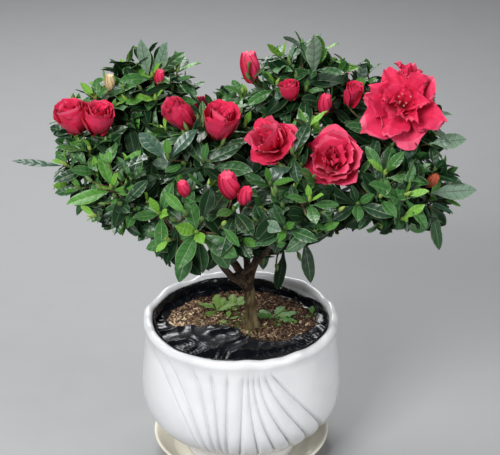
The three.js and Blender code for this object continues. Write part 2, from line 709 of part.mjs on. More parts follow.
// A spray on its twig: its leaves' outlines joined by notches, between the bud's peak and the twig's end.
function spraySolid(mass, limbs, grown, tip, twig, random) {
  const leaves = sprayLeaves(tip, random);
  const outlines = leaves.map((leaf) => fittedOutline(mass, limbs, grown, leaf, !tip.placed));
  const ring = outlines.flatMap((outline, i) => {
    const between = leaves[i].along.clone().add(leaves[(i + 1) % leaves.length].along).normalize();
    const notch = tip.at.clone().addScaledVector(between, SPRAY.bud);
    return outline ? [outline.right, outline.tip, outline.left, notch] : [notch];
  });
  if (ring.length < 7) return null;
  return sproutSolid(twig, tip.faces, [ring], tip.at.clone().addScaledVector(tip.faces, SPRAY.bud));
}

// One leaf by itself at a twig's end.
function loneLeafSolid(tip, twig) {
  const along = tip.tip.clone().sub(tip.at).normalize();
  const face = upperFace(tip.faces, along);
  const length = tip.at.distanceTo(tip.tip);
  const { right, left } = leafOutline({ root: tip.at, along, face, length, width: tip.width });
  const side = new THREE.Vector3().crossVectors(along, face);
  const ring = [right, tip.tip, left];
  for (const out of [side.clone().negate(), along.clone().negate(), side]) {
    ring.push(tip.at.clone().addScaledVector(out, SPRAY.bud));
  }
  return sproutSolid(twig, face, [ring], tip.at.clone().addScaledVector(face, SPRAY.bud));
}

// A flower on its twig, as large as its mass's space lets it be. Its lobes stand out most where a row is
// widest.
function flowerSolid(mass, limbs, tip, twig) {
  const { rows, sides, lobes, depth } = FORMS[tip.kind];
  const [first, second] = acrossAxis(tip.faces);
  const widest = Math.max(...rows.map(([radius]) => radius));
  for (const shrink of FLOWER_SHRINKS) {
    const size = tip.size * shrink;
    const rings = rows.map(([radius, height]) =>
      Array.from({ length: sides }, (_, i) => {
        const turn = (2 * Math.PI * (i + 0.5)) / sides;
        const lobe = depth * Math.cos(lobes * turn) * (radius / widest) ** 2;
        const point = tip.at.clone().addScaledVector(tip.faces, size * (height - 0.5 * lobe * radius));
        point.addScaledVector(first, size * radius * (1 + lobe) * Math.cos(turn));
        return point.addScaledVector(second, size * radius * (1 + lobe) * Math.sin(turn));
      }),
    );
    const fits = rings.flat().every((spot) => isFree(mass, limbs, spot, false));
    if (!fits && shrink !== FLOWER_SHRINKS.at(-1)) continue;
    const peak = tip.at.clone().addScaledVector(tip.faces, size * FORMS[tip.kind].peak);
    return sproutSolid(twig, tip.faces, rings, peak);
  }
}

// The twig ends of a mass: those placed by hand that lie in its space, then the seeded ones between them.
function massTips(mass, limbs, random) {
  const owns = (point) => wallRoom(mass, point) > 0;
  const tips = [];
  for (const spray of SPRAYS) {
    const faces = vector(spray.faces).normalize();
    tips.push({ kind: "spray", at: vector(spray.at), faces, size: spray.leaf, placed: true });
  }
  for (const leaf of LONE_LEAVES) {
    const at = vector(leaf.root);
    const faces = at.clone().sub(HEART).normalize();
    tips.push({ kind: "leaf", at, tip: vector(leaf.tip), faces, width: leaf.width, placed: true });
  }
  for (const flower of FLOWERS) {
    tips.push({ ...flower, at: vector(flower.at), faces: vector(flower.faces).normalize(), placed: true });
  }
  const own = tips.filter((tip) => owns(tip.at));
  const outward = mass.centre.clone().sub(HEART).normalize();
  const wanted = own.length + SEEDED.count;
  for (let i = 0; i < SEEDED.tried && own.length < wanted; i++) {
    const height = 1 - (2 * i + 1) / SEEDED.tried;
    const turn = i * GOLDEN_TURN + mass.seed;
    const flat = Math.sqrt(1 - height * height);
    const direction = vector([flat * Math.cos(turn), flat * Math.sin(turn), height]);
    const share = mix(SEEDED.nearShare, SEEDED.farShare, random());
    const at = direction.clone().multiply(vector(mass.reach)).multiplyScalar(share).add(mass.centre);
    if (direction.dot(outward) < SEEDED.mostInward) continue;
    if (wallRoom(mass, at) < SEEDED.room || limbRoom(limbs, at) < SEEDED.room) continue;
    if (own.some((tip) => tip.at.distanceTo(at) < SEEDED.spacing)) continue;
    const faces = direction.clone().multiplyScalar(0.7).addScaledVector(outward, 0.3);
    faces.addScaledVector(UP, 0.45).normalize();
    own.push({ kind: "spray", at, faces, size: LEAF.length * mix(0.85, 1.05, random()), placed: false });
  }
  return own;
}

// Twigs: each end, nearest first, joins the grown point that makes the shortest way back to the stem.
function growTwigs(mass, limbs, tips, stemFrom, stemTo) {
  const grown = [];
  for (const share of TWIG.stemForks) {
    const point = stemFrom.clone().lerp(stemTo, share);
    grown.push({ point, way: share * stemFrom.distanceTo(stemTo), radius: TWIG.stemRadius * TWIG.stemTaper });
  }
  const twigs = [];
  const order = [...tips].sort((a, b) => a.at.distanceTo(stemTo) - b.at.distanceTo(stemTo));
  for (const tip of order) {
    let best = null;
    for (const node of grown) {
      const cost = node.point.distanceTo(tip.at) + TWIG.wayCost * node.way;
      if (!best || cost < best.cost) best = { node, cost };
    }
    const from = best.node.point;
    const spots = [0.3, 0.5, 0.7, 0.9].map((share) => from.clone().lerp(tip.at, share));
    if (!spots.every((spot) => limbRoom(limbs, spot) > LIMB_ROOM + 1.5)) continue;
    const length = from.distanceTo(tip.at);
    const fromRadius = best.node.radius / 2;
    const point = from.clone().lerp(tip.at, TWIG.forkShare);
    const way = best.node.way + TWIG.forkShare * length;
    grown.push({ point, way, radius: mix(fromRadius, TWIG.tipRadius, TWIG.forkShare) });
    twigs.push({ from, fromRadius, tip });
  }
  return twigs;
}

// What grows on a twig: it ends a little behind a spray's or flower's middle.
function tipSolid(mass, limbs, grown, { from, fromRadius, tip }, random) {
  const back = FORMS[tip.kind] ? tip.size * FORMS[tip.kind].foot : SPRAY.bud;
  const to = tip.at.clone().addScaledVector(tip.faces, -back);
  const twig = { from, fromRadius, to, toRadius: TWIG.tipRadius };
  if (tip.kind === "spray") return spraySolid(mass, limbs, grown, tip, twig, random);
  return tip.kind === "leaf" ? loneLeafSolid(tip, twig) : flowerSolid(mass, limbs, tip, twig);
}

function massSolid(mass, limbs) {
  const random = seeded(mass.seed * 7919 + 13);
  const stemFrom = mass.entry.clone().addScaledVector(mass.along, GAP);
  const reachLeft = Math.max(12, mass.entry.distanceTo(mass.centre));
  const stemTo = stemFrom.clone().addScaledVector(mass.along, reachLeft);
  let grown = twigSolid(stemFrom, stemTo, TWIG.stemRadius, TWIG.stemRadius * TWIG.stemTaper);
  const twigs = growTwigs(mass, limbs, massTips(mass, limbs, random), stemFrom, stemTo);
  for (const twig of twigs) {
    const made = tipSolid(mass, limbs, grown, twig, random);
    if (made) grown = grown.add(made);
  }
  return mainBody(grown.simplify(0.02));
}

const plant = new THREE.Group();
plant.name = "azalea_shrub";
plant.add(meshOf("saucer", saucer(), CREAM_GLAZE));
plant.add(meshOf("pot", pot(), GLAZE));
plant.add(meshOf("potting_mix", pottingMix(), COIR));
plant.add(meshOf("pot_liner", potLiner(), FILM));

MASSES.forEach((mass, index) => {
  mass.centre = vector(mass.middle);
  mass.seed = index + 1;
});

const limbs = [trunkLimb()];
plant.add(meshOf("trunk", limbSolid(limbs[0], 0, SOIL.height + GAP, 10, 7), BARK));
let clearance = limbSolid(limbs[0], GAP, null, 10, 7);
for (const mass of MASSES) {
  const parentName = mass.parent === "trunk" ? "trunk" : "bough_" + mass.parent;
  const limb = boughLimb(mass, limbs.find((other) => other.name === parentName));
  mass.entry = limb.curve.getPoint(1);
  plant.add(meshOf(limb.name, mainBody(limbSolid(limb).subtract(clearance)), BARK));
  clearance = clearance.add(limbSolid(limb, GAP));
  limbs.push(limb);
}
for (const mass of MASSES) plant.add(meshOf("leaves_" + mass.name, massSolid(mass, limbs), LEAVES));

export default plant;
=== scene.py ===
# Looks of the azalea shrub in its white bowl pot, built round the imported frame.
# Shapes are worked out in millimetres and become metres when a mesh is made. +Z is up and -Y is the front.
import json
import math

import bpy
import numpy as np
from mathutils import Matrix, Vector, noise

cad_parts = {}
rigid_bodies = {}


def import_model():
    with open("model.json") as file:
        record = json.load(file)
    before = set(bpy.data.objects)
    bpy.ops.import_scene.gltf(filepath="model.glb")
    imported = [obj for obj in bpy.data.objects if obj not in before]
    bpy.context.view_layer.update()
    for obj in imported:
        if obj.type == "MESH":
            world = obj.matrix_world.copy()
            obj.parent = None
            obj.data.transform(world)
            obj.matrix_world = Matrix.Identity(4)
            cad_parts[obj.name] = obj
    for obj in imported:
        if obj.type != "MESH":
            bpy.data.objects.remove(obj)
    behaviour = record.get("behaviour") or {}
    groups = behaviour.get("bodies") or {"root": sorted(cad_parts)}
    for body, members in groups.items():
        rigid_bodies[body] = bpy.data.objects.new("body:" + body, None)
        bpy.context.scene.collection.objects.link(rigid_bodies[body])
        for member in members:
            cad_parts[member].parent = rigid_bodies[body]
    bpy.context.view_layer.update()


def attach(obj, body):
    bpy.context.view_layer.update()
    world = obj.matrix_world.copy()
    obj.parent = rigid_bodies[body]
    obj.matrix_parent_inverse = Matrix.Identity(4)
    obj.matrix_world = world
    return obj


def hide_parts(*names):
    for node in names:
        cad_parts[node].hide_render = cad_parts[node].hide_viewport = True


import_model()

MM = 0.001
UP = Vector((0, 0, 1))

# Camera: what it looks at, how far off it stands, how far it tilts down, and its lens in photo pixels.
PHOTO_WIDTH = 500
CAMERA = {"target": (8, 0, 219), "distance": 1200, "pitch": 25.7, "focal_pixels": 1410, "sensor": 36}

# Pot, saucer and filling.
SAUCER = {"foot": 58, "rim": 79, "height": 19, "wall": 3.2, "floor": 4}
POT = {
    "foot": 51, "foot_height": 12, "bottom": 16, "belly": 88, "belly_height": 70, "fullness": 2.4,
    "neck_height": 122, "neck": 84.2, "rim": 85.4, "height": 135, "lip": 8, "wall": 6.5, "floor": 9,
    "wave": 1.1,
}
# The gap that keeps neighbouring solids apart.
GAP = 0.3
# Creases of the pot's drapery: degrees from the front at the neck and at the bottom, and how the line between
# them bows. A fold stands out by its depth at most, and a narrow one by a share of its width.
LEFT_CREASES = [(-62, -25), (-47, -20.5), (-28, -16), (-17, -12), (-7, -8)]
LEFT_BOW = 2.3
SWEPT_CREASES = [(2, -1, 1), (5, 16, 2), (8, 33, 2), (11, 48, 1.7), (14.5, 64, 1.4), (18, 78, 1.1)]
CREASE_DEPTH = 3.2
CREASE_SLOPE = 0.26
# The grooves' depth at the pot's bottom and at its neck, and the heights between which the folds show.
GROOVE = {"low": 2.4, "high": 0.9, "width": 1.5}
DRAPERY = {"full": 26, "fades": 110, "ends": 125}
# How far each fold leans over, and the columns of the mesh in a fold and in the smooth side.
FOLD_LEAN = 0.55
FOLD_COLUMNS = 16
SMOOTH_COLUMNS = 72
# The mix's surface, and where the trunk stands on it.
SOIL_HEIGHT = 118
SOIL_TRUNK = (9, 7)

# Trunk, then the masses of foliage: name, middle, reach, the bough each branches off and where along it.
TRUNK = {
    "foot": (9, 7, 118.3), "bend": (10, 3, 146), "fork": (5, 0, 168),
    "foot_radius": 5.4, "fork_radius": 4.5, "flare": 3.6, "flare_share": 0.3,
}
MASSES = [
    ("left_top", (-78, 42, 318), (50, 48, 54), "trunk", 1),
    ("right_top", (54, 42, 326), (54, 48, 54), "trunk", 0.93),
    ("front", (-35, -86, 264), (48, 42, 40), "trunk", 0.86),
    ("back", (0, 108, 262), (52, 46, 42), "trunk", 0.8),
    ("left_end", (-122, -25, 284), (36, 38, 32), "left_top", 0.25),
    ("right_end", (145, -30, 266), (35, 40, 38), "right_top", 0.3),
    ("left_front", (-92, -68, 280), (41, 40, 32), "left_end", 0.25),
    ("left_shoulder", (-116, 14, 302), (44, 44, 36), "left_end", 0.55),
    ("back_left", (-86, 95, 284), (52, 46, 42), "left_top", 0.4),
    ("centre", (-32, -15, 298), (44, 42, 44), "left_top", 0.25),
    ("centre_back", (-5, 55, 284), (44, 44, 38), "back", 0.35),
    ("right_front", (113, -64, 276), (45, 42, 34), "right_end", 0.3),
    ("right_shoulder", (128, 5, 302), (50, 48, 44), "right_end", 0.5),
    ("centre_right", (52, -45, 298), (46, 42, 42), "right_top", 0.3),
    ("front_right", (43, -86, 273), (46, 42, 34), "front", 0.3),
    ("back_right", (92, 90, 296), (54, 46, 44), "right_top", 0.45),
    ("low_right", (43, -20, 228), (32, 28, 36), "right_top", 0.16),
]
# Boughs: radii where main and side ones start and where they end, how far they go in, the step in which that
# is looked for, and how they lift.
MAIN_RADIUS = 3.5
SIDE_RADIUS = 2.7
TIP_RADIUS = 1.9
BOUGH_SHARE = 0.62
BOUGH_STEP = 0.02
BOUGH_LIFT = 0.45
# The middle that the crown spreads from, and the turn from one leaf to the next.
HEART = Vector((5, 5, 222))
GOLDEN_TURN = math.pi * (3 - math.sqrt(5))

# Twigs, as in the solids, and the finer ones that grow on from them here.
TWIG = {
    "stem": 2.0, "taper": 0.85, "tip": 0.75, "stem_forks": (0.35, 0.65, 1), "fork_share": 0.55,
    "way_cost": 0.5, "sides": 6, "steps": 6,
}
SEEDED = {
    "count": 9, "tried": 48, "near": 0.54, "far": 0.66, "spacing": 23, "room": 2, "inward": -0.2,
    "turned": 0,
}
FINE = {
    "count": 12, "tried": 130, "near": 0.40, "far": 0.74, "spacing": 18, "room": -3, "inward": -0.35,
    "turned": 1.3,
}
INNER = {
    "count": 15, "tried": 150, "near": 0.05, "far": 0.60, "spacing": 12, "room": -8, "inward": -1,
    "turned": 2.1,
}

# Leaf colours by tint, as plain linear colours: blade, sheen of the coat, roughness. The near-black deep tint
# is painted shade for leaves inside and low in the crown, and dark is partly the leaves' own dark green and
# partly painted shade. The pale grey tint's blade is painted sheen, a lit copy of the dusk tint.
TINTS = {
    "lime": ((0.175, 0.400, 0.045), 0.12, 0.42),
    "fresh": ((0.078, 0.245, 0.034), 0.20, 0.38),
    "mid": ((0.042, 0.150, 0.032), 0.30, 0.34),
    "green": ((0.023, 0.092, 0.025), 0.36, 0.32),
    "dark": ((0.011, 0.050, 0.017), 0.34, 0.32),
    "deep": ((0.005, 0.023, 0.007), 0.04, 0.45),
    "dusk": ((0.042, 0.100, 0.062), 0.50, 0.30),
    "grey": ((0.150, 0.240, 0.165), 0.50, 0.30),
    "sprig": ((0.150, 0.280, 0.045), 0.05, 0.50),
}
PALE_GREEN = (0.336, 0.448, 0.216)
# How far each part of a leaf is paler than its blade, or darker where the share is negative. The side veins
# lie in the grooves of the quilting, and their darker colour is partly their own and partly painted shade
# there. In greyish leaves the midrib is dark too, and in the deepest ones, whose colour is painted shade, the
# parts differ less.
LEAF_PARTS = (("blade", 0.0), ("rib", 0.40), ("margin", 0.34), ("vein", -0.30))
DARK_RIB = -0.55
DARK_RIBBED = ("dusk", "grey")
DEEP_CONTRAST = 0.3

# Sprays that stand out in the photo: place, the way each faces, leaf length and tint.
SPRAYS = [
    ((61, 40, 348), (0.1, -0.6, 0.9), 34, "green"),
    ((-73, 32, 343), (-0.1, -0.6, 0.9), 34, "mid"),
    ((-119, 10, 332), (-0.2, -0.5, 0.9), 30, "fresh"),
    ((-141, -22, 286), (-0.7, -0.3, 0.6), 28, "mid"),
    ((-101, -64, 284), (-0.1, -0.6, 0.8), 42, "lime"),
    ((-57, -52, 304), (0, -0.5, 0.85), 42, "dusk"),
    ((-62, -86, 272), (-0.2, -0.7, 0.6), 40, "mid"),
    ((-33, -100, 263), (0, -0.85, 0.5), 48, "fresh"),
    ((2, 40, 326), (0, -0.5, 0.9), 30, "fresh"),
    ((54, -95, 287), (0, -0.5, 0.85), 34, "fresh"),
    ((114, -64, 296), (0.1, -0.5, 0.85), 38, "mid"),
    ((153, -43, 264), (0.5, -0.5, 0.6), 34, "dusk"),
    ((-128, -42, 274), (-0.6, -0.5, 0.5), 32, "green"),
    ((-4, -84, 274), (-0.1, -0.6, 0.8), 42, "dark"),
    ((24, -66, 288), (0, -0.6, 0.8), 40, "green"),
    ((-30, -50, 300), (0.1, -0.6, 0.8), 40, "dark"),
    ((92, -80, 278), (0.1, -0.8, 0.5), 40, "dark"),
]
# Sprays of the finer growth that close gaps between the masses, here alone. Their deep and dark leaves are
# painted shade in the low gaps round the fork.
FILLERS = [
    ((8, 34, 340), (-0.5, -0.3, 1), 34, "green"),
    ((30, 26, 338), (0.3, -0.5, 1), 30, "mid"),
    ((5, -48, 276), (0, -0.7, 0.5), 38, "dark"),
    ((8, -34, 262), (0, -0.8, 0.3), 36, "deep"),
    ((6, -20, 240), (0, -0.9, 0.2), 34, "deep"),
    ((-84, -30, 290), (-0.1, -0.7, 0.6), 36, "dark"),
    ((-70, -38, 268), (0, -0.8, 0.4), 34, "deep"),
    ((0, -88, 252), (0.1, -0.9, 0.2), 34, "green"),
    ((-75, -8, 286), (0, -0.7, 0.4), 36, "deep"),
    ((-80, -22, 264), (0, -0.7, 0.4), 36, "deep"),
    ((18, -40, 212), (0.1, -0.8, -0.4), 36, "deep"),
    ((30, -30, 200), (0.1, -0.8, -0.5), 34, "dark"),
    ((-8, -30, 212), (-0.1, -0.8, -0.3), 34, "deep"),
    ((48, -34, 212), (0.2, -0.8, -0.4), 34, "deep"),
    ((78, -50, 240), (0.1, -0.8, 0.1), 36, "dark"),
    ((-24, -44, 296), (0, -0.6, 0.8), 38, "green"),
]
# Single leaves at the crown's furthest tips: root, tip, width and tint. The deep and dark ones hanging low by
# the trunk are painted shade, and the pale grey ones at the top carry painted sheen.
LONE_LEAVES = [
    ((-142, -20, 284), (-186, -20, 289), 6, "dusk"),
    ((152, -42, 270), (191, -40, 272), 15, "grey"),
    ((154, -46, 258), (163, -46, 221), 14, "green"),
    ((60, 32, 344), (60, 30, 380), 17, "grey"),
    ((-76, 33, 342), (-82, 36, 374), 13, "grey"),
    ((-70, 33, 342), (-60, 34, 372), 17, "grey"),
    ((154, -20, 304), (183, -20, 308), 14, "grey"),
    ((52, -26, 222), (59, -30, 182), 14, "dark"),
    ((18, -22, 222), (19, -27, 193), 12, "dark"),
    ((36, -14, 206), (31, -11, 165), 13, "deep"),
    ((-38, -104, 258), (-47, -112, 226), 14, "green"),
    ((-24, -98, 259), (-9, -96, 230), 14, "green"),
    ((0, 140, 262), (2, 154, 236), 14, "green"),
]
# Blooms and buds: kind, place of the middle, the way each faces, size and tone.
FLOWERS = [
    ("tub", (-134, -8, 318), (-0.30, -0.30, 1), 31, "rose"),
    ("tub", (-116, -11, 318), (0.15, -0.30, 1), 29, "rose"),
    ("cup", (-47, -6, 321), (-0.55, -0.35, 0.75), 31, "rose"),
    ("tub", (-16, -20, 318), (0.15, -0.30, 1), 32, "rose"),
    ("domed", (25, -45, 316), (-0.35, -0.55, 0.75), 46, "rose"),
    ("domed", (74, -58, 306), (-0.1, -0.75, 0.65), 50, "rose"),
    ("bloom", (130, -22, 342), (-0.1, -0.65, 0.75), 74, "rose"),
    ("fan", (138, 8, 348), (0.4, -0.1, 0.9), 42, "rose"),
    ("bloom", (-84, 122, 306), (-0.2, 0.65, 0.75), 50, "rose"),
    ("bloom", (86, 122, 310), (0.15, 0.65, 0.75), 56, "rose"),
    ("cup", (8, 132, 264), (0.1, 0.8, 0.6), 36, "rose"),
    ("bud", (8, 42, 347), (-0.1, 0, 1), 27, "rose"),
    ("tub", (41, 12, 336), (-0.2, -0.2, 1), 18, "rose"),
    ("bud", (69, 0, 330), (0.1, -0.3, 1), 19, "rose"),
    ("cup", (92, 14, 331), (0.2, -0.3, 1), 22, "rose"),
    ("bud", (-8, -80, 293), (-0.2, -0.4, 1), 26, "rose"),
    ("bud", (4, -86, 287), (0.3, -0.4, 1), 18, "rose"),
    ("bud", (-43, -86, 293), (-0.2, -0.4, 1), 16, "rose"),
    ("bud", (-67, 22, 346), (0.2, -0.3, 1), 14, "rose"),
    ("bud", (154, -45, 282), (0.4, -0.5, 0.8), 15, "rust"),
    ("bud", (-108, 20, 342), (0.1, -0.1, 1), 14, "cream"),
    ("bud", (-36, 112, 284), (-0.1, 0.4, 1), 22, "rose"),
    ("bud", (128, 78, 322), (0.3, 0.4, 1), 20, "rose"),
]
# How far behind its middle a flower's foot lies, as a share of its size.
FLOWER_FOOT = {"bloom": 0.3, "fan": 0.3, "domed": 0.34, "cup": 0.46, "tub": 0.42, "bud": 0.48}


def mix(low, high, share):
    return low + (high - low) * share


def smooth(low, high, value):
    share = np.clip((value - low) / (high - low), 0, 1)
    return share * share * (3 - 2 * share)


def curve_point(start, middle, end, share):
    """A point on the line from start to end that bends towards the middle."""
    return start * (1 - share) ** 2 + middle * (2 * share * (1 - share)) + end * share ** 2


def full_turn(count):
    return np.linspace(0, 2 * math.pi, count, endpoint=False)


def from_front(radius, angle):
    """Place in x and y at an angle from the front."""
    return radius * math.sin(angle), -radius * math.cos(angle)


def column(items, key):
    """One value of every item, shaped to spread over rows and columns."""
    return np.array([item[key] for item in items])[:, None, None]


def seeded(seed):
    """Park and Miller's generator, the same that grows the solids."""
    state = seed

    def draw():
        nonlocal state
        state = state * 16807 % 2147483647
        return state / 2147483647

    return draw


# Materials. Sizes and depths are in millimetres, in the object's own space.
def shader_of(material):
    return material.node_tree.nodes["Principled BSDF"]


def set_inputs(node, values):
    for name, value in values.items():
        node.inputs[name].default_value = value


def add_node(material, kind, values):
    node = material.node_tree.nodes.new(kind)
    set_inputs(node, values)
    return node


def new_material(name, color, roughness, coat=0.0, specular=0.5, coat_roughness=0.2):
    material = bpy.data.materials.new(name)
    material.use_nodes = True
    set_inputs(shader_of(material), {
        "Base Color": (*color, 1), "Roughness": roughness, "Specular IOR Level": specular,
        "Coat Weight": coat, "Coat Roughness": coat_roughness,
    })
    return material


def add_noise(material, size, detail=4.0, stretch=(1, 1, 1), distortion=0.0):
    """The output of a noise pattern with features of about the given size."""
    links = material.node_tree.links
    place = add_node(material, "ShaderNodeTexCoord", {})
    mapping = add_node(material, "ShaderNodeMapping", {"Scale": stretch})
    settings = {"Scale": 1 / (size * MM), "Detail": detail, "Distortion": distortion}
    pattern = add_node(material, "ShaderNodeTexNoise", settings)
    links.new(place.outputs["Object"], mapping.inputs["Vector"])
    links.new(mapping.outputs["Vector"], pattern.inputs["Vector"])
    return pattern.outputs["Fac"]


def vary_roughness(material, size, low, high):
    limits = {"From Min": 0.3, "From Max": 0.7, "To Min": low, "To Max": high}
    spread = add_node(material, "ShaderNodeMapRange", limits)
    links = material.node_tree.links
    links.new(add_noise(material, size), spread.inputs["Value"])
    links.new(spread.outputs["Result"], shader_of(material).inputs["Roughness"])


def vary_color(material, colors, low=0.35, high=0.65, **grain):
    """Colours that follow each other over a noise pattern."""
    ramp = add_node(material, "ShaderNodeValToRGB", {})
    elements = ramp.color_ramp.elements
    for element, place, color in zip(elements, (low, high), (colors[0], colors[-1])):
        element.position = place
        element.color = (*color, 1)
    for number, color in enumerate(colors[1:-1], 1):
        elements.new(mix(low, high, number / (len(colors) - 1))).color = (*color, 1)
    links = material.node_tree.links
    links.new(add_noise(material, **grain), ramp.inputs["Fac"])
    links.new(ramp.outputs["Color"], shader_of(material).inputs["Base Color"])


def add_bump(material, depth, strength, **grain):
    bump = add_node(material, "ShaderNodeBump", {"Strength": strength, "Distance": depth * MM})
    links = material.node_tree.links
    links.new(add_noise(material, **grain), bump.inputs["Height"])
    links.new(bump.outputs["Normal"], shader_of(material).inputs["Normal"])


def glaze_material(name, color, shade):
    material = new_material(name, color, 0.16, coat=0.4)
    vary_color(material, [shade, color], 0.3, 0.55, size=26, detail=2)
    vary_roughness(material, 9, 0.13, 0.24)
    add_bump(material, 0.25, 0.35, size=7, detail=2)
    return material


def film_material():
    material = new_material("black_film", (0.004, 0.005, 0.008), 0.2, coat=0.15)
    vary_roughness(material, 14, 0.16, 0.30)
    add_bump(material, 0.9, 0.3, size=12, detail=1, stretch=(1, 2.6, 1), distortion=1.0)
    return material


def mix_material():
    colors = [(0.022, 0.012, 0.008), (0.085, 0.045, 0.024), (0.20, 0.115, 0.06)]
    material = new_material("potting_mix", (0.10, 0.055, 0.030), 0.95, specular=0.2)
    vary_color(material, colors, size=3.2, detail=8)
    vary_roughness(material, 5, 0.8, 1.0)
    add_bump(material, 2.0, 0.9, size=2.2, detail=8)
    return material


def chip_material(name, color):
    material = new_material(name, color, 0.85, specular=0.25)
    vary_roughness(material, 2, 0.7, 0.95)
    add_bump(material, 0.4, 0.8, size=0.8, stretch=(1, 3, 1))
    return material


def bark_material(name, colors):
    material = new_material(name, colors[1], 0.85, specular=0.25)
    vary_color(material, colors, size=4.5, detail=6, stretch=(1, 1, 0.3), distortion=0.8)
    vary_roughness(material, 3, 0.72, 0.95)
    add_bump(material, 1.1, 0.9, size=2.4, detail=8, stretch=(1, 1, 0.25), distortion=0.6)
    return material


def leaf_materials(tint):
    """Blade, midrib, margin and side veins of one tint."""
    color, coat, roughness = TINTS[tint]
    contrast, specular = (DEEP_CONTRAST, 0.1) if tint == "deep" else (1, 0.35)
    made = []
    for part, pale in LEAF_PARTS:
        if part == "rib" and tint in DARK_RIBBED:
            pale = DARK_RIB
        share = abs(pale) * contrast
        shade = [mix(own, other if pale > 0 else 0, share) for own, other in zip(color, PALE_GREEN)]
        material = new_material(f"leaf_{tint}_{part}", shade, roughness, coat, specular, 0.35)
        vary_roughness(material, 3.5, roughness - 0.06, roughness + 0.14)
        add_bump(material, 0.35, 0.6, size=1.6, detail=5)
        made.append(material)
    return made


# Petals run through tones from the dark throat to the pale edge, mixed from these. The dark throat and petal
# feet are painted shade deep in the flower, and the pale edge is partly the petals' own paler rim and partly
# a painted highlight.
PETAL_TONES = 8
PETAL_KEYS = np.array([
    (0.240, 0.0015, 0.0090), (0.450, 0.0030, 0.0230), (0.630, 0.0090, 0.0580), (0.740, 0.0360, 0.1150),
    (0.810, 0.1700, 0.2800),
])


def petal_materials():
    made = []
    for tone in range(PETAL_TONES):
        place = tone / (PETAL_TONES - 1) * (len(PETAL_KEYS) - 1)
        color = [float(np.interp(place, np.arange(len(PETAL_KEYS)), channel)) for channel in PETAL_KEYS.T]
        material = new_material(f"petal_{tone}", color, 0.55, specular=0.2)
        set_inputs(shader_of(material), {"Sheen Weight": 0.05, "Sheen Roughness": 0.5})
        vary_roughness(material, 2.5, 0.48, 0.68)
        add_bump(material, 0.3, 0.5, size=1.3)
        made.append(material)
    return made


def plain_materials(prefix, colors, grain, depth):
    made = []
    for name, color in colors.items():
        material = new_material(f"{prefix}_{name}", color, 0.5, specular=0.4)
        vary_roughness(material, grain * 2, 0.42, 0.6)
        add_bump(material, depth, 0.6, size=grain)
        made.append(material)
    return made


# Meshes.
def make_piece(name, points, faces, materials, slots=None):
    """A mesh object from points in millimetres and quads or triangles, or a list of arrays of either."""
    groups = faces if isinstance(faces, list) else [faces]
    loops = np.concatenate([group.ravel() for group in groups]).astype(np.int32)
    sizes = np.concatenate([np.full(len(group), group.shape[1]) for group in groups])
    starts = np.concatenate([[0], np.cumsum(sizes)[:-1]]).astype(np.int32)
    mesh = bpy.data.meshes.new(name)
    mesh.vertices.add(len(points))
    mesh.vertices.foreach_set("co", (np.asarray(points, np.float64) * MM).astype(np.float32).ravel())
    mesh.loops.add(len(loops))
    mesh.loops.foreach_set("vertex_index", loops)
    mesh.polygons.add(len(sizes))
    mesh.polygons.foreach_set("loop_start", starts)
    for material in materials:
        mesh.materials.append(material)
    if slots is not None:
        mesh.polygons.foreach_set("material_index", np.asarray(slots, np.int32))
    mesh.update(calc_edges=True)
    mesh.validate()
    piece = bpy.data.objects.new(name, mesh)
    bpy.context.scene.collection.objects.link(piece)
    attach(piece, "root")
    return piece


def grid_faces(rows, columns, closed=False):
    """Quads of a grid of points with the given number of rows and columns of points."""
    across = columns if closed else columns - 1
    row, start = np.meshgrid(np.arange(rows - 1), np.arange(across), indexing="ij")
    low, high = row * columns, (row + 1) * columns
    after = (start + 1) % columns
    return np.stack([low + start, low + after, high + after, high + start], axis=-1).reshape(-1, 4)


def repeat_faces(faces, count, points_each):
    shift = (np.arange(count) * points_each)[:, None, None]
    return (faces[None] + shift).reshape(-1, faces.shape[1])


class Gathered:
    """Points and faces of many small bodies, joined into one piece."""

    def __init__(self):
        self.points, self.faces, self.slots, self.count = [], [], [], 0

    def add(self, points, faces, slot=0):
        self.points.append(points)
        self.faces.append(faces + self.count)
        self.slots.append(np.full(len(faces), slot) if np.isscalar(slot) else slot)
        self.count += len(points)

    def piece(self, name, materials):
        sizes = sorted({group.shape[1] for group in self.faces})
        faces = [np.concatenate([group for group in self.faces if group.shape[1] == size]) for size in sizes]
        pairs = list(zip(self.faces, self.slots))
        slots = [slot for size in sizes for group, slot in pairs if group.shape[1] == size]
        return make_piece(name, np.concatenate(self.points), faces, materials, np.concatenate(slots))


def fan_caps(rows, columns, points):
    """Triangles that close the first and last row of a turned grid, which lie flat, and their middles."""
    first, last = points[:columns].mean(axis=0), points[-columns:].mean(axis=0)
    at = np.arange(columns)
    after = (at + 1) % columns
    base = (rows - 1) * columns
    low = np.stack([after, at, np.full(columns, rows * columns)], axis=1)
    high = np.stack([base + at, base + after, np.full(columns, rows * columns + 1)], axis=1)
    return np.concatenate([low, high]), np.array([first, last])


def closed_piece(name, points, rows, columns, material):
    """A body whose skin is a grid turned round +Z, closed by a flat fan at either end."""
    caps, middles = fan_caps(rows, columns, points)
    faces = [grid_faces(rows, columns, closed=True), caps]
    return make_piece(name, np.concatenate([points, middles]), faces, [material])


def turned_piece(name, rows, angles, shape, material):
    """Rows of (radius, height) turned round +Z at angles from the front, each point placed by shape."""
    points = []
    for number, (radius, height) in enumerate(rows):
        radii, heights, turns = shape(number, radius, height, angles)
        points.append(np.stack([radii * np.sin(turns), -radii * np.cos(turns), heights + 0 * turns], axis=1))
    return closed_piece(name, np.concatenate(points), len(rows), len(angles), material)


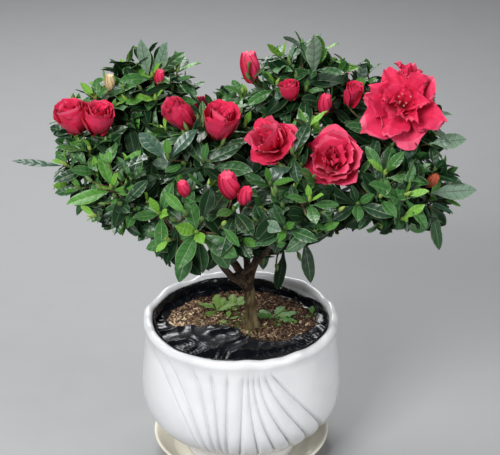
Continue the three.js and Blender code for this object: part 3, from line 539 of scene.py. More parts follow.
# Pot and saucer.
def pot_radius(z):
    if z < POT["belly_height"]:
        fall = min(1, (POT["belly_height"] - z) / (POT["belly_height"] - POT["bottom"]))
        return max(POT["foot"], POT["belly"] * (1 - fall ** POT["fullness"]) ** (1 / POT["fullness"]))
    return mix(POT["belly"], POT["neck"], smooth(POT["belly_height"], POT["neck_height"], z))


def inner_radius(z):
    bowl = pot_radius(max(z, POT["bottom"] + POT["floor"])) - POT["wall"]
    if z <= POT["neck_height"]:
        return bowl
    return mix(bowl, POT["rim"] - POT["lip"], smooth(POT["neck_height"], 130, z))


def rim_wave(angle):
    return POT["wave"] * (0.6 * np.sin(3 * angle + 0.6) + 0.4 * np.sin(5 * angle + 2))


def crease_angles(z):
    climb = np.clip((z - POT["bottom"]) / (POT["neck_height"] - POT["bottom"]), 0, 1)
    angles = [mix(bottom, top, climb ** LEFT_BOW) for top, bottom in LEFT_CREASES]
    angles += [mix(bottom, top, 1 - (1 - climb) ** bow) for top, bottom, bow in SWEPT_CREASES]
    return angles + [angles[0] + 180]


def wall_columns():
    """Every column of the pot's wall: half, crease and how far it stands on the way to the next crease."""
    folds = len(LEFT_CREASES) + len(SWEPT_CREASES)
    columns = []
    for half in (0, 1):
        for crease in range(folds):
            count = SMOOTH_COLUMNS if crease == folds - 1 else FOLD_COLUMNS
            columns += [(half, crease, 0.5 - 0.5 * math.cos(math.pi * k / count)) for k in range(count)]
    return columns


def drapery(columns, z):
    """Angle and depth below the smooth wall of every column at one height."""
    creases = crease_angles(z)
    fade = smooth(POT["bottom"], DRAPERY["full"], z) * (1 - smooth(DRAPERY["fades"], DRAPERY["ends"], z))
    deepest = mix(GROOVE["low"], GROOVE["high"], smooth(POT["bottom"], POT["neck_height"], z))
    angles, depths = [], []
    for half, crease, place in columns:
        start, end = creases[crease], creases[crease + 1]
        arc = math.radians(end - start) * POT["belly"]
        crown = 1 - abs(2 * place ** FOLD_LEAN - 1) ** (2 + arc / 20)
        groove = deepest * math.exp(-((min(place, 1 - place) * arc / GROOVE["width"]) ** 2))
        depth = CREASE_DEPTH - min(CREASE_DEPTH, CREASE_SLOPE * arc) * crown + min(1, arc / 5) * groove
        angles.append(math.radians(mix(start, end, place) + 180 * half))
        depths.append(fade * depth)
    return np.array(angles), np.array(depths)


def build_pot():
    columns = wall_columns()
    top_angles, _ = drapery(columns, POT["neck_height"])
    foot, floor_height = POT["foot"], SAUCER["floor"] + GAP
    rows = [(foot - 2, floor_height), (foot, floor_height + 2), (foot, POT["foot_height"])]
    rows += [(pot_radius(z), z) for z in np.linspace(POT["bottom"], 123, 50)]
    outside = len(rows)
    half = POT["lip"] / 2
    for angle in np.radians(np.linspace(-28, 205, 18)):
        height = POT["height"] - half - 1 + (half + 1) * math.sin(angle)
        rows.append((POT["rim"] - half + half * math.cos(angle), height))
    inside_foot = 25
    rows += [(inner_radius(z), z) for z in np.linspace(128, inside_foot, 24)]
    floor_radius, base = inner_radius(inside_foot), floor_height + POT["floor"]
    rows += [(floor_radius - 3, base + 4), (floor_radius - 10, base)]

    def shape(number, radius, height, angles):
        turns, depths = drapery(columns, height) if number < outside else (angles, 0)
        near = smooth(124, POT["height"], height)
        bumps = 0.55 * np.sin(11 * turns + 1) + 0.35 * np.sin(23 * turns) * np.sin(2 * turns + 1)
        bumps = bumps * (1 + 0.9 * np.sin(turns + 0.9) ** 2)
        return radius - depths + 0.7 * near * bumps, height + near * (rim_wave(turns) + bumps), turns

    glaze = glaze_material("white_glaze", (0.83, 0.84, 0.85), (0.78, 0.79, 0.81))
    piece = turned_piece("pot_glazed", rows, top_angles, shape, glaze)
    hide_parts("pot")


def build_saucer():
    foot, rim, height, wall, floor = (SAUCER[key] for key in ("foot", "rim", "height", "wall", "floor"))
    inside = rim - wall
    rows = [(foot, 0), (foot + 2.5, 0.5), (foot + 5, 2)]
    shares = np.linspace(0.1, 1, 9)
    rows += [(mix(foot + 5, rim - 4, share), mix(2, height - 4.5, share)) for share in shares]
    rows += [(rim - 1.6, height - 3), (rim, height - 1.4), (rim - 0.6, height - 0.2), (rim - 1.6, height)]
    rows += [(inside, height - 0.8), (inside - 4, height - 5)]
    rows += [(mix(inside - 4, foot + 3, share), mix(height - 5, floor + 1, share)) for share in shares]
    rows += [(foot - 3, floor), (foot - 12, floor)]

    def shape(number, radius, level, turns):
        wobble = level / height
        radii = radius + 0.25 * np.sin(4 * turns + 1) * wobble
        return radii, level + 0.15 * np.sin(5 * turns) * wobble, turns

    # The cream colour is partly the saucer's own glaze and partly a painted warm reflection in its bowl.
    glaze = glaze_material("cream_glaze_and_reflection", (0.86, 0.82, 0.70), (0.80, 0.75, 0.62))
    piece = turned_piece("saucer_glazed", rows, full_turn(180), shape, glaze)
    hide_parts("saucer")


# Filling: film, mix, chips and fibres. The film leaves the pot's wall bare at one angle from the front.
FILM = {"top": 132.8, "columns": 420, "wall_rows": 10, "flap_rows": 64, "thickness": 0.25}
BARED = {"angle": 138, "spread": 24, "depth": 7}
# Where the film ends over the mix: angle from the front and the place in x and y.
FLAP_EDGE = [
    (-180, 0, 73), (-150, -36, 62), (-120, -61, 36), (-101, -67, 15), (-90, -58, 4), (-72, -44, 7),
    (-52, -31, 6), (-32, -19, 8), (-14, -9, 6), (2, -1, -1), (14, 5, -9), (24, 10, -17), (40, 25, -21),
    (58, 43, -18), (76, 57, -3), (92, 67, 8), (112, 66, 28), (135, 50, 50), (158, 27, 68), (180, 0, 73),
]


def flap_edge(angle):
    """Where the film's edge lies for a direction from the front."""
    degrees = (math.degrees(angle) + 180) % 360 - 180
    for (low, x0, y0), (high, x1, y1) in zip(FLAP_EDGE, FLAP_EDGE[1:]):
        if degrees <= high:
            share = (degrees - low) / (high - low)
            return mix(x0, x1, share), mix(y0, y1, share)


def left_open(x, y):
    """Whether the film leaves a place on the mix open."""
    inside = False
    for (_, x0, y0), (_, x1, y1) in zip(FLAP_EDGE, FLAP_EDGE[1:]):
        if (y0 > y) != (y1 > y) and x < mix(x0, x1, (y - y0) / (y1 - y0)):
            inside = not inside
    return inside


def crumple(x, y, z, sizes, seed=0.0):
    """Noise between 0 and 1 with long sharp ridges, each level across the last, for scrunched film."""
    total, weight = 0.0, 0.0
    for level, size in enumerate(sizes):
        share, heading = 0.5 ** level, 0.5 + 1.3 * level
        along = (x * math.cos(heading) + y * math.sin(heading)) / (2.6 * size)
        across = (y * math.cos(heading) - x * math.sin(heading)) / size
        ridge = abs(noise.noise(Vector((along + seed, across - seed, z / size + 3 * level))))
        total += share * (1 - ridge * 2.2)
        weight += share
    return total / weight


# Patches of fine parallel folds in the film: middle, reach, the way the folds run, how deep and how wide.
PLEATS = [
    ((-38, -40), 15, 0.75, 2.0, 3.2), ((-16, -52), 18, -0.3, 0.5, 4.6), ((54, -24), 13, 1.0, 2.0, 2.8),
    ((22, -48), 15, 0.5, 0.5, 4.2),
]


def pleat(x, y):
    rise = 0.0
    for middle, spread, heading, depth, pitch in PLEATS:
        away = math.hypot(x - middle[0], y - middle[1]) / spread
        if away < 2:
            across = x * math.cos(heading) + y * math.sin(heading)
            rise += depth * math.exp(-away * away) * (1 - abs(math.sin(math.pi * across / pitch)))
    return rise


def film_wall(angle, share):
    """A point of the film on the pot's wall, from its ragged top down to the mix."""
    ragged = 0.96 * noise.noise(Vector((4 * math.cos(angle), 4 * math.sin(angle), 8)))
    from_bared = (math.degrees(angle) - BARED["angle"] + 540) % 360 - 180
    top = FILM["top"] + ragged - BARED["depth"] * math.exp(-((from_bared / BARED["spread"]) ** 2))
    z = mix(top, SOIL_HEIGHT + 1.8, share)
    radius = inner_radius(z) - 0.8
    scrunched = max(0, crumple(*from_front(radius, angle), z, (16, 7, 3))) ** 1.5
    radius -= 3.0 * scrunched * math.sin(math.pi * min(share + 0.12, 1)) + 0.3
    return *from_front(radius, angle), z + rim_wave(angle) * smooth(124, POT["height"], z)


def film_flap(angle, share):
    """A point of the film that lies over the mix, from the wall to its edge."""
    ragged = 1.8 * noise.noise(Vector((9 * math.cos(angle), 9 * math.sin(angle), 2)))
    wall = inner_radius(SOIL_HEIGHT) - 1.4
    places = zip(from_front(1, angle), flap_edge(angle))
    x, y = (mix(wall * way, end + ragged * way, share) for way, end in places)
    lift = 0.9 + 4.2 * max(0, crumple(x, y, 0, (22, 12), 5.3)) ** 2 + pleat(x, y)
    return x, y, SOIL_HEIGHT + 0.4 + lift * mix(1, 0.5, share ** 4)


def build_film():
    angles = full_turn(FILM["columns"])
    rows = [(film_wall, share) for share in np.linspace(0, 1, FILM["wall_rows"])]
    rows += [(film_flap, share) for share in np.linspace(0, 1, FILM["flap_rows"])[1:]]
    points = [place(angle, share) for place, share in rows for angle in angles]
    faces = grid_faces(len(rows), len(angles), closed=True)[:, ::-1]
    piece = make_piece("film_lining", points, faces, [film_material()])
    thick = piece.modifiers.new("film_thickness", "SOLIDIFY")
    thick.thickness = FILM["thickness"] * MM
    thick.offset = 0
    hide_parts("pot_liner")


def ground_height(x, y):
    """The mix's own lumpy surface, heaped a little round the trunk."""
    spot = Vector((x / 11, y / 11, 0))
    near = math.exp(-(((x - SOIL_TRUNK[0]) ** 2 + (y - SOIL_TRUNK[1]) ** 2) / 220))
    return SOIL_HEIGHT - 0.9 + 1.2 * noise.noise(spot) + 0.6 * noise.noise(spot * 3.1) + 1.0 * near


def random_turns(generator, count):
    """Random rotation matrices, mostly lying flat."""
    spin = generator.uniform(0, 2 * math.pi, count)
    tilt = generator.normal(0, 0.35, (count, 2))
    zero, one = np.zeros(count), np.ones(count)
    cz, sz = np.cos(spin), np.sin(spin)
    cx, sx, cy, sy = np.cos(tilt[:, 0]), np.sin(tilt[:, 0]), np.cos(tilt[:, 1]), np.sin(tilt[:, 1])
    about_z = np.array([[cz, -sz, zero], [sz, cz, zero], [zero, zero, one]])
    about_x = np.array([[one, zero, zero], [zero, cx, -sx], [zero, sx, cx]])
    about_y = np.array([[cy, zero, sy], [zero, one, zero], [-sy, zero, cy]])
    turns = [matrix.transpose(2, 0, 1) for matrix in (about_y, about_x, about_z)]
    return turns[0] @ turns[1] @ turns[2]


def scattered_spots(generator, count):
    """Places on the mix that the film and the trunk leave open."""
    spots = []
    while len(spots) < count:
        x, y = generator.uniform(-74, 74, 2)
        near_trunk = math.hypot(x - SOIL_TRUNK[0], y - SOIL_TRUNK[1]) < 6
        if left_open(x, y) and math.hypot(x, y) <= 73.5 and not near_trunk:
            spots.append((x, y, ground_height(x, y)))
    return np.array(spots)


# Chips, from dark to bright, then moss. Their sizes are in x, y and z before each is turned.
CHIP_COLORS = {
    "dark": (0.050, 0.024, 0.014),
    "brown": (0.140, 0.078, 0.046),
    "tan": (0.36, 0.225, 0.135),
    "straw": (0.72, 0.56, 0.36),
    "moss": (0.115, 0.135, 0.035),
}
CHIP_SIZES = ((2.0, 9.5), (0.7, 2.4), (0.4, 1.1))
CHIPS = 5200
FIBRES = 900


def add_chips(mixed, generator):
    """Flat splinters, brighter at the left and front and darker at the back, with moss round the trunk. The
    brightening towards the left and front is painted light and the darkening at the back painted shade.
    """
    corners = np.array([[x, y, z] for x in (-0.5, 0.5) for y in (-0.5, 0.5) for z in (-0.5, 0.5)])
    sides = np.array([[0, 1, 3, 2], [4, 6, 7, 5], [0, 4, 5, 1], [2, 3, 7, 6], [0, 2, 6, 4], [1, 5, 7, 3]])
    spots = scattered_spots(generator, CHIPS)
    spots[:, 2] += 0.5 + 1.6 * generator.random(CHIPS) ** 2
    sizes = np.stack([generator.uniform(low, high, CHIPS) for low, high in CHIP_SIZES], axis=1)
    shapes = corners[None] * sizes[:, None] * generator.uniform(0.7, 1.1, (CHIPS, 8, 1))
    shapes = shapes @ random_turns(generator, CHIPS).transpose(0, 2, 1) + spots[:, None]
    # Painted light and shade: the chips' tone rises towards the left and front, the side the light comes
    # from.
    bright = np.clip((-spots[:, 0] - spots[:, 1] + 40) / 160, 0, 0.6) + generator.normal(0, 0.42, CHIPS)
    tones = np.digitize(bright, (0.16, 0.50, 0.80))
    near = np.hypot(spots[:, 0] - SOIL_TRUNK[0] + 10, spots[:, 1] - SOIL_TRUNK[1] - 6)
    mossy = generator.random(CHIPS) < 0.5 * np.exp(-((near / 24) ** 2))
    tones[mossy] = list(CHIP_COLORS).index("moss")
    mixed.add(shapes.reshape(-1, 3), repeat_faces(sides, CHIPS, 8), np.repeat(tones, 6))


def add_fibres(mixed, generator):
    """Thin curled strands that lie on the mix."""
    starts = scattered_spots(generator, FIBRES)
    headings = generator.uniform(0, 2 * math.pi, FIBRES)
    for (x, y, z), heading in zip(starts, headings):
        length, curl, lift = generator.uniform(5, 16), generator.normal(0, 0.9), generator.uniform(0.4, 2.2)
        line = []
        for share in np.linspace(0, 1, 6):
            turn = heading + curl * share
            out = length * (share - 0.5)
            rise = 0.6 + lift * math.sin(math.pi * share)
            line.append((x + out * math.cos(turn), y + out * math.sin(turn), z + rise))
        if max(math.hypot(*point[:2]) for point in line) < 74:
            mixed.add(*tube(line, [0.22] * 6, 3), 3 if generator.random() < 0.5 else 2)


def build_mix():
    rings = [(70, 100), (77, 100), *[(radius, None) for radius in np.linspace(76.6, 1, 48)]]
    angles = full_turn(150)
    points = []
    for radius, level in rings:
        for angle in angles:
            x, y = from_front(radius, angle)
            points.append((x, y, level or ground_height(x, y)))
    ground = closed_piece("mix_ground", np.array(points), len(rings), len(angles), mix_material())
    generator = np.random.default_rng(41)
    mixed = Gathered()
    add_chips(mixed, generator)
    add_fibres(mixed, generator)
    materials = [chip_material("chip_" + name, color) for name, color in CHIP_COLORS.items()]
    piece = mixed.piece("mix_chips", materials)
    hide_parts("potting_mix")


# Limbs: one bend each, as in the solids.
def tube(line, radii, sides, relief=None):
    """A tube through points. relief(step, turn, point) is the share by which each stands out."""
    line = np.array([tuple(point) for point in line], float)
    along = np.gradient(line, axis=0)
    along /= np.linalg.norm(along, axis=1, keepdims=True)
    side = np.cross(along[0], (0.3, 0.2, 0.93))
    points = []
    for step, (middle, direction, radius) in enumerate(zip(line, along, radii)):
        side = side - direction * side.dot(direction)
        side /= np.linalg.norm(side)
        other = np.cross(direction, side)
        for number in range(sides):
            turn = 2 * math.pi * number / sides
            out = side * math.cos(turn) + other * math.sin(turn)
            stand = 1 + (relief(step, turn, middle + out * radius) if relief else 0)
            points.append(middle + out * radius * stand)
    return np.array(points), grid_faces(len(line), sides, closed=True)


class Limb:
    """A tapering limb with one bend, and on the trunk a flare at its foot."""

    def __init__(self, name, ends, radii, flare=0.0):
        self.name, self.radii, self.flare = name, radii, flare
        self.ends = [Vector(end) for end in ends]

    def point(self, share):
        return curve_point(*self.ends, share)

    def radius(self, share):
        return mix(*self.radii, share) + self.flare * max(0, 1 - share / TRUNK["flare_share"]) ** 2


class Mass:
    def __init__(self, number, name, middle, reach, parent, share):
        self.name, self.parent, self.share, self.seed = name, parent, share, number + 1
        self.centre, self.reach = Vector(middle), Vector(reach)


def wall_room(mass, point):
    """How far inside its mass's space a point lies, to the nearest flat wall between two masses."""
    own = (point - mass.centre).length_squared
    return min(
        ((point - other.centre).length_squared - own) / (2 * (mass.centre - other.centre).length)
        for other in masses if other is not mass
    )


def reach_share(mass, point):
    """How far out a point lies, where the edge of the mass's reach is 1."""
    away = point - mass.centre
    return math.sqrt(sum((away[axis] / mass.reach[axis]) ** 2 for axis in range(3)))


def limb_room(point):
    """How far a point lies from the nearest limb."""
    return min((point - spot).length - radius for spot, radius in limb_spots)


def bough_limb(mass, parent):
    """The bough that carries a mass, from its parent to as far in as its share of the reach."""
    start = parent.point(mass.share)
    end = mass.centre.copy()
    for step in range(int(BOUGH_SHARE / BOUGH_STEP)):
        spot = mass.centre.lerp(start, BOUGH_STEP * step)
        if wall_room(mass, spot) < 4 or reach_share(mass, spot) > BOUGH_SHARE:
            break
        end = spot
    way = end - start
    mass.along = (way.normalized() + UP * BOUGH_LIFT).normalized()
    mass.entry = end
    bend = end - mass.along * (0.5 * way.length)
    radius = MAIN_RADIUS if mass.parent == "trunk" else SIDE_RADIUS
    return Limb("bough_" + mass.name, (start, bend, end), (radius, TIP_RADIUS))


def grow_limbs():
    ends = [TRUNK[key] for key in ("foot", "bend", "fork")]
    found = {"trunk": Limb("trunk", ends, (TRUNK["foot_radius"], TRUNK["fork_radius"]), TRUNK["flare"])}
    for mass in masses:
        found[mass.name] = bough_limb(mass, found[mass.parent])
    return list(found.values())


def bark_relief(seed, is_trunk):
    """Ridges along a limb, and buttresses round the trunk's foot."""

    def relief(step, turn, point):
        spot = Vector((point[0] / 2.6, point[1] / 2.6, point[2] / 9 + seed))
        ridge = 0.10 * noise.noise(spot) + 0.06 * noise.noise(spot * 2.3)
        if not is_trunk:
            return ridge + 0.06 * noise.noise(Vector((point[2] / 5, seed, 0)))
        buttress = 0.16 * math.cos(3 * turn + 0.7) * max(0, 1 - step / 22) ** 1.5
        return ridge * 0.9 + buttress + 0.05 * math.cos(2 * turn + step / 9)

    return relief


def build_bark():
    wood = Gathered()
    for number, limb in enumerate(limbs):
        is_trunk = limb.name == "trunk"
        spacing, sides = (0.9, 44) if is_trunk else (1.6, 18)
        length = sum((limb.point(k / 20) - limb.point((k + 1) / 20)).length for k in range(20))
        shares = np.linspace(0, 1, max(12, int(length / spacing)) + 1)
        line = [limb.point(share) for share in shares]
        radii = [limb.radius(share) for share in shares]
        if is_trunk:
            line[0] = line[0] - UP * 1.5
        else:
            collar = [1 + 0.45 * math.exp(-((share * length / 7) ** 2)) for share in shares]
            radii = [radius * swell for radius, swell in zip(radii, collar)]
        ahead = (line[-1] - line[-2]).normalized()
        tip, end_radius = line[-1], radii[-1]
        for share in (0.35, 0.7, 0.92, 1.0):
            line.append(tip + ahead * (share * end_radius * 0.9))
            radii.append(end_radius * math.sqrt(max(0.02, 1 - share ** 2)))
        wood.add(*tube(line, radii, sides, bark_relief(number, is_trunk)), 0 if is_trunk else 1)
    materials = [
        bark_material("trunk_bark", [(0.045, 0.030, 0.014), (0.125, 0.090, 0.042), (0.225, 0.180, 0.095)]),
        bark_material("bough_bark", [(0.020, 0.012, 0.008), (0.060, 0.036, 0.022), (0.120, 0.080, 0.048)]),
    ]
    piece = wood.piece("bark", materials)
    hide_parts(*[limb.name for limb in limbs])


# Directions round an axis.
def across_axis(axis):
    helper = UP if abs(axis.z) < 0.9 else Vector((1, 0, 0))
    first = axis.cross(helper).normalized()
    return first, axis.cross(first)


def leaning(axis, lean, turn):
    first, second = across_axis(axis)
    out = first * math.cos(turn) + second * math.sin(turn)
    return (axis * math.cos(lean) + out * math.sin(lean)).normalized()


def upper_face(axis, along):
    face = axis - along * axis.dot(along)
    if face.length < 1e-4:
        face = across_axis(along)[0]
    return face.normalized()


# Leaves: each is a sheet whose rows follow its side veins. Columns are places across, parts say what each
# strip between them is, and lobes how deep the edge is lobed.
FINE_LEAF = {
    "veins": 6, "columns": np.array([-1, -0.91, -0.5, -0.055, 0.055, 0.5, 0.91, 1]),
    "parts": np.array([2, 0, 0, 1, 0, 0, 2]), "lobes": 0,
}
INNER_LEAF = {
    "veins": 3, "columns": np.array([-1, -0.88, -0.06, 0.06, 0.88, 1]),
    "parts": np.array([2, 0, 1, 0, 2]), "lobes": 0,
}
LOBED_LEAF = {**FINE_LEAF, "veins": 7, "lobes": 0.34}
# Where the three rows of each vein stand: its far edge, the middle of the panel and its near edge.
VEIN_ROWS = (0, 0.42, 0.84)
VEIN_SLANT = 0.13
QUILT = 0.020
STALK = 0.07


def leaf_grid(grid):
    """Places along and across, half width and quilting of a leaf of length 1 and width 1."""
    veins, across = grid["veins"], grid["columns"][None, :]
    rows = np.array([(vein + step) / veins for vein in range(veins) for step in VEIN_ROWS] + [1.0])[:, None]
    along = rows + VEIN_SLANT * np.abs(across) * np.sin(math.pi * rows)
    blade = np.clip((along - STALK) / (1 - STALK), 0, 1)
    half = np.maximum(np.sin(math.pi * blade ** 1.20) ** 0.86, 0)
    lobing = 1 - grid["lobes"] * (1 + np.cos(8 * math.pi * blade)) / 2
    half = np.maximum(half, mix(0.11, 0.045, rows)) * lobing
    rise = np.where(np.arange(len(rows)) % 3 == 1, 1.0, -1.0)[:, None]
    quilt = rise * QUILT * np.interp(np.abs(across), [0, 0.06, 0.5, 0.92, 1], [0, 0.25, 1, 0.35, 0.1])
    return along, across, half, quilt * np.sin(math.pi * rows) ** 0.5


def bent_sheets(items, along, across, height):
    """Flat grids, of items, rows and columns, laid along each item's own curved, twisted middle line."""
    points, ahead, face = (
        np.array([tuple(item[key]) for item in items])[:, None, None] for key in ("root", "along", "face")
    )
    length, bend, twist = (column(items, key) for key in ("length", "bend", "twist"))
    bend = np.where(np.abs(bend) < 0.02, 0.02, bend)
    arc, turn = bend * along, twist * along
    out = across * np.cos(turn) - height * np.sin(turn)
    rise = across * np.sin(turn) + height * np.cos(turn)
    forward = length * np.sin(arc) / bend + rise * np.sin(arc)
    lifted = rise * np.cos(arc) - length * (1 - np.cos(arc)) / bend
    for place, way in ((forward, ahead), (out, np.cross(ahead, face)), (lifted, face)):
        points = points + place[..., None] * way
    return points.reshape(-1, 3)


def leaf_points(leaves, grid):
    along, across, half, quilt = leaf_grid(grid)
    length, width, fold, wave = (column(leaves, key) for key in ("length", "width", "fold", "wave"))
    spread = np.abs(across) * half
    height = width / 2 * (fold * spread - 0.55 * spread ** 2 + 0.05) + length * quilt
    height += 0.045 * width * spread ** 2 * np.sin(7.5 * along + wave + np.sign(across))
    out = across * half * width / 2 * (1 - 0.10 * fold)
    return bent_sheets(leaves, np.broadcast_to(along, height.shape), out, height)


def leaf_piece(name, leaves, tint, grid):
    parts, columns = grid["parts"], len(grid["columns"])
    rows = len(VEIN_ROWS) * grid["veins"] + 1
    faces = repeat_faces(grid_faces(rows, columns), len(leaves), rows * columns)
    on_vein = np.where(parts == 0, 3, parts)
    slots = np.tile(np.concatenate([parts, parts, on_vein]), grid["veins"] * len(leaves))
    make_piece(name, leaf_points(leaves, grid), faces, leaf_materials(tint), slots)


def build_leaves():
    for tint, leaves in foliage.items():
        if leaves:
            leaf_piece("leaves_" + tint, leaves, tint, INNER_LEAF if tint == "deep" else FINE_LEAF)


# Petals: rows along and columns across each, and the values that each has of its own.
PETAL_ROWS = 12
PETAL_COLUMNS = 16
PETAL_VALUES = ("length", "width", "wrap", "ruffle", "roll", "round", "wave", "claw", "notch")


def petal_points(petals):
    rows = np.linspace(0, 1, PETAL_ROWS + 1)[None, :, None]
    across = np.linspace(-1, 1, PETAL_COLUMNS + 1)[None, None, :]
    values = [column(petals, key) for key in PETAL_VALUES]
    length, width, wrap, ruffle, roll, rounding, wave, claw, notch = values
    broad = claw + (1 - claw) * np.sin(np.minimum(rows / 0.7, 1) * math.pi / 2) ** 1.3
    broad = broad * (1 - 0.16 * np.clip((rows - 0.7) / 0.3, 0, 1) ** 2)
    along = rows * (1 - rounding * across ** 2 * rows ** 2)
    along = along * (1 - notch * np.exp(-((across / 0.22) ** 2)) * rows ** 6)
    along = along * (1 + 0.25 * ruffle * rows ** 4 * np.sin(wave * 3 + 8 * across))
    flat = across * broad * width / 2
    curve = np.maximum(wrap, 0.05) / (width / 2)
    rim = np.maximum(rows ** 3, np.abs(across) ** 3 * rows)
    ripple = np.sin(wave + 3.6 * across + 2.5 * rows) + 0.8 * np.sin(2.3 * wave + 8.5 * across)
    ripple = ripple + 0.6 * np.sin(5 * wave + 16 * across + 6 * rows)
    height = (1 - np.cos(curve * flat)) / curve + ruffle * length * rim * ripple
    height = height - roll * length * np.clip((rows - 0.68) / 0.32, 0, 1) ** 2
    height = height - 0.03 * length * np.exp(-((across / 0.12) ** 2)) * rows
    out = np.sin(curve * flat) / curve
    out = out + 0.35 * ruffle * length * rim * np.sin(1.7 * wave + 7 * rows + 5 * across)
    return bent_sheets(petals, along, out, height)


# Whorls of each kind of flower: count, lean, length, width, bend, wrap, ruffle, roll, how round the end
# is, how far petals differ from each other, and the tones at the foot and at the edge. Inner whorls start
# darker:
# painted shade in the flower's heart.
WHORLS = {
    "bloom": [
        (6, 1.36, 0.51, 0.42, 0.35, 0.30, 0.060, 0.00, 0.48, 1.2, (2.0, 6.0)),
        (5, 1.02, 0.50, 0.42, 0.20, 0.45, 0.070, 0.00, 0.46, 1.4, (1.4, 5.6)),
        (5, 0.72, 0.41, 0.32, 0.15, 0.60, 0.090, 0.00, 0.40, 1.6, (0.4, 5.0)),
        (4, 0.52, 0.26, 0.18, 0.10, 0.60, 0.130, 0.00, 0.34, 1.6, (0.0, 4.4)),
    ],
    "fan": [
        (5, 1.10, 0.60, 0.46, 0.20, 0.40, 0.060, 0.00, 0.42, 1.2, (2.4, 6.2)),
        (5, 0.75, 0.58, 0.42, 0.10, 0.50, 0.070, 0.00, 0.40, 1.2, (2.0, 5.8)),
        (5, 0.45, 0.50, 0.30, 0.00, 0.60, 0.090, 0.00, 0.34, 1.3, (0.8, 5.2)),
    ],
    "domed": [
        (5, 1.26, 0.58, 0.68, -0.55, 0.60, 0.026, 0.02, 0.42, 1.2, (2.4, 5.6)),
        (4, 0.98, 0.58, 0.68, -0.65, 0.80, 0.034, 0.02, 0.42, 1.3, (2.4, 5.8)),
        (3, 0.70, 0.57, 0.64, -0.55, 0.95, 0.044, 0.03, 0.36, 1.5, (2.2, 5.8)),
        (3, 0.46, 0.52, 0.44, -0.25, 0.95, 0.065, 0.03, 0.30, 1.6, (1.6, 5.4)),
        (3, 0.24, 0.46, 0.32, 0.00, 0.95, 0.085, 0.03, 0.26, 1.6, (1.0, 5.0)),
    ],
    "cup": [
        (3, 0.66, 1.00, 0.94, -0.85, 1.20, 0.016, 0.04, 0.10, 0.5, (2.8, 5.0)),
        (3, 0.52, 1.00, 0.88, -0.75, 1.25, 0.022, 0.04, 0.10, 0.6, (2.8, 5.4)),
        (3, 0.34, 0.93, 0.68, -0.50, 1.25, 0.034, 0.04, 0.12, 0.8, (2.2, 5.4)),
        (3, 0.17, 0.86, 0.46, -0.25, 1.15, 0.050, 0.04, 0.14, 0.9, (1.4, 5.0)),
    ],
    "tub": [
        (3, 1.04, 0.98, 1.12, -1.20, 1.20, 0.014, 0.06, 0.08, 0.4, (2.8, 5.0)),
        (3, 0.88, 0.98, 1.02, -1.05, 1.25, 0.020, 0.06, 0.08, 0.5, (2.8, 5.4)),
        (3, 0.66, 0.92, 0.84, -0.80, 1.25, 0.030, 0.05, 0.10, 0.7, (2.4, 5.6)),
        (3, 0.42, 0.86, 0.60, -0.50, 1.20, 0.045, 0.04, 0.12, 0.9, (1.8, 5.2)),
        (3, 0.20, 0.82, 0.42, -0.25, 1.10, 0.060, 0.04, 0.14, 0.9, (1.2, 4.8)),
    ],
}


def swing(random, span):
    """A random step to either side, up to half the span."""
    return span * (random() - 0.5)


def grow_flower(kind, middle, axis, size, random):
    """Petals in whorls round the axis of a flower."""
    foot = middle - axis * (size * FLOWER_FOOT[kind] * 0.85)
    petals = []
    start = random() * 2 * math.pi
    for number, whorl in enumerate(WHORLS[kind]):
        count, lean, length, width, bend, wrap, ruffle, roll, rounding, spread, (inner, edge) = whorl
        for k in range(count):
            turn = start + 2 * math.pi * (k + 0.5 * (number % 2) + swing(random, 0.30 * spread)) / count
            along = leaning(axis, lean + swing(random, 0.26 * spread), turn)
            petals.append({
                "root": foot + axis * (size * (0.03 * number + 0.02 * (k % 2))) + along * (0.01 * size),
                "along": along,
                "face": upper_face(axis, along),
                "length": size * length * (1 + swing(random, 0.24 * spread)),
                "width": size * width * (1 + swing(random, 0.24 * spread)),
                "bend": bend + swing(random, 0.5 * spread),
                "twist": swing(random, 0.45 * spread),
                "wrap": wrap * (0.8 + 0.4 * random()),
                "ruffle": ruffle * (0.75 + 0.5 * random()),
                "roll": roll,
                "round": rounding,
                "wave": 2 * math.pi * random(),
                "claw": 0.55 if kind in ("cup", "tub") else 0.32,
                "notch": 0.08 * random(),
                "tones": (inner, edge + swing(random, 0.8)),
            })
    return petals


def build_petals():
    petals = [petal for flower in open_flowers for petal in flower]
    rows, columns = PETAL_ROWS + 1, PETAL_COLUMNS + 1
    faces = repeat_faces(grid_faces(rows, columns), len(petals), rows * columns)
    # Tones rise from each petal's foot to its edge: painted shade at the foot, partly painted highlight at
    # the edge.
    share = np.linspace(0, 1, PETAL_ROWS)[None, :] ** 0.8
    inner, edge = (np.array([petal["tones"][end] for petal in petals])[:, None] for end in (0, 1))
    tones = np.clip(np.round(mix(inner, edge, share)), 0, PETAL_TONES - 1)
    slots = np.repeat(tones.ravel(), PETAL_COLUMNS)
    piece = make_piece("blossom", petal_points(petals), faces, petal_materials(), slots)


# Buds: a rolled body of petals that overlap in furrows, which wind round it. Each tone has its own colour and
# a darker shade colour, painted as shade in the furrows.
BUD_COLORS = {
    "rose": [(0.70, 0.0300, 0.1050), (0.44, 0.0080, 0.0380)],
    "rust": [(0.42, 0.0900, 0.0400), (0.24, 0.0400, 0.0200)],
    "cream": [(0.62, 0.47, 0.26), (0.42, 0.28, 0.14)],
}
BUD_ROWS = 22
BUD_FURROWS = 7
BUD_STEPS = 4
BUD_SIDES = BUD_FURROWS * BUD_STEPS


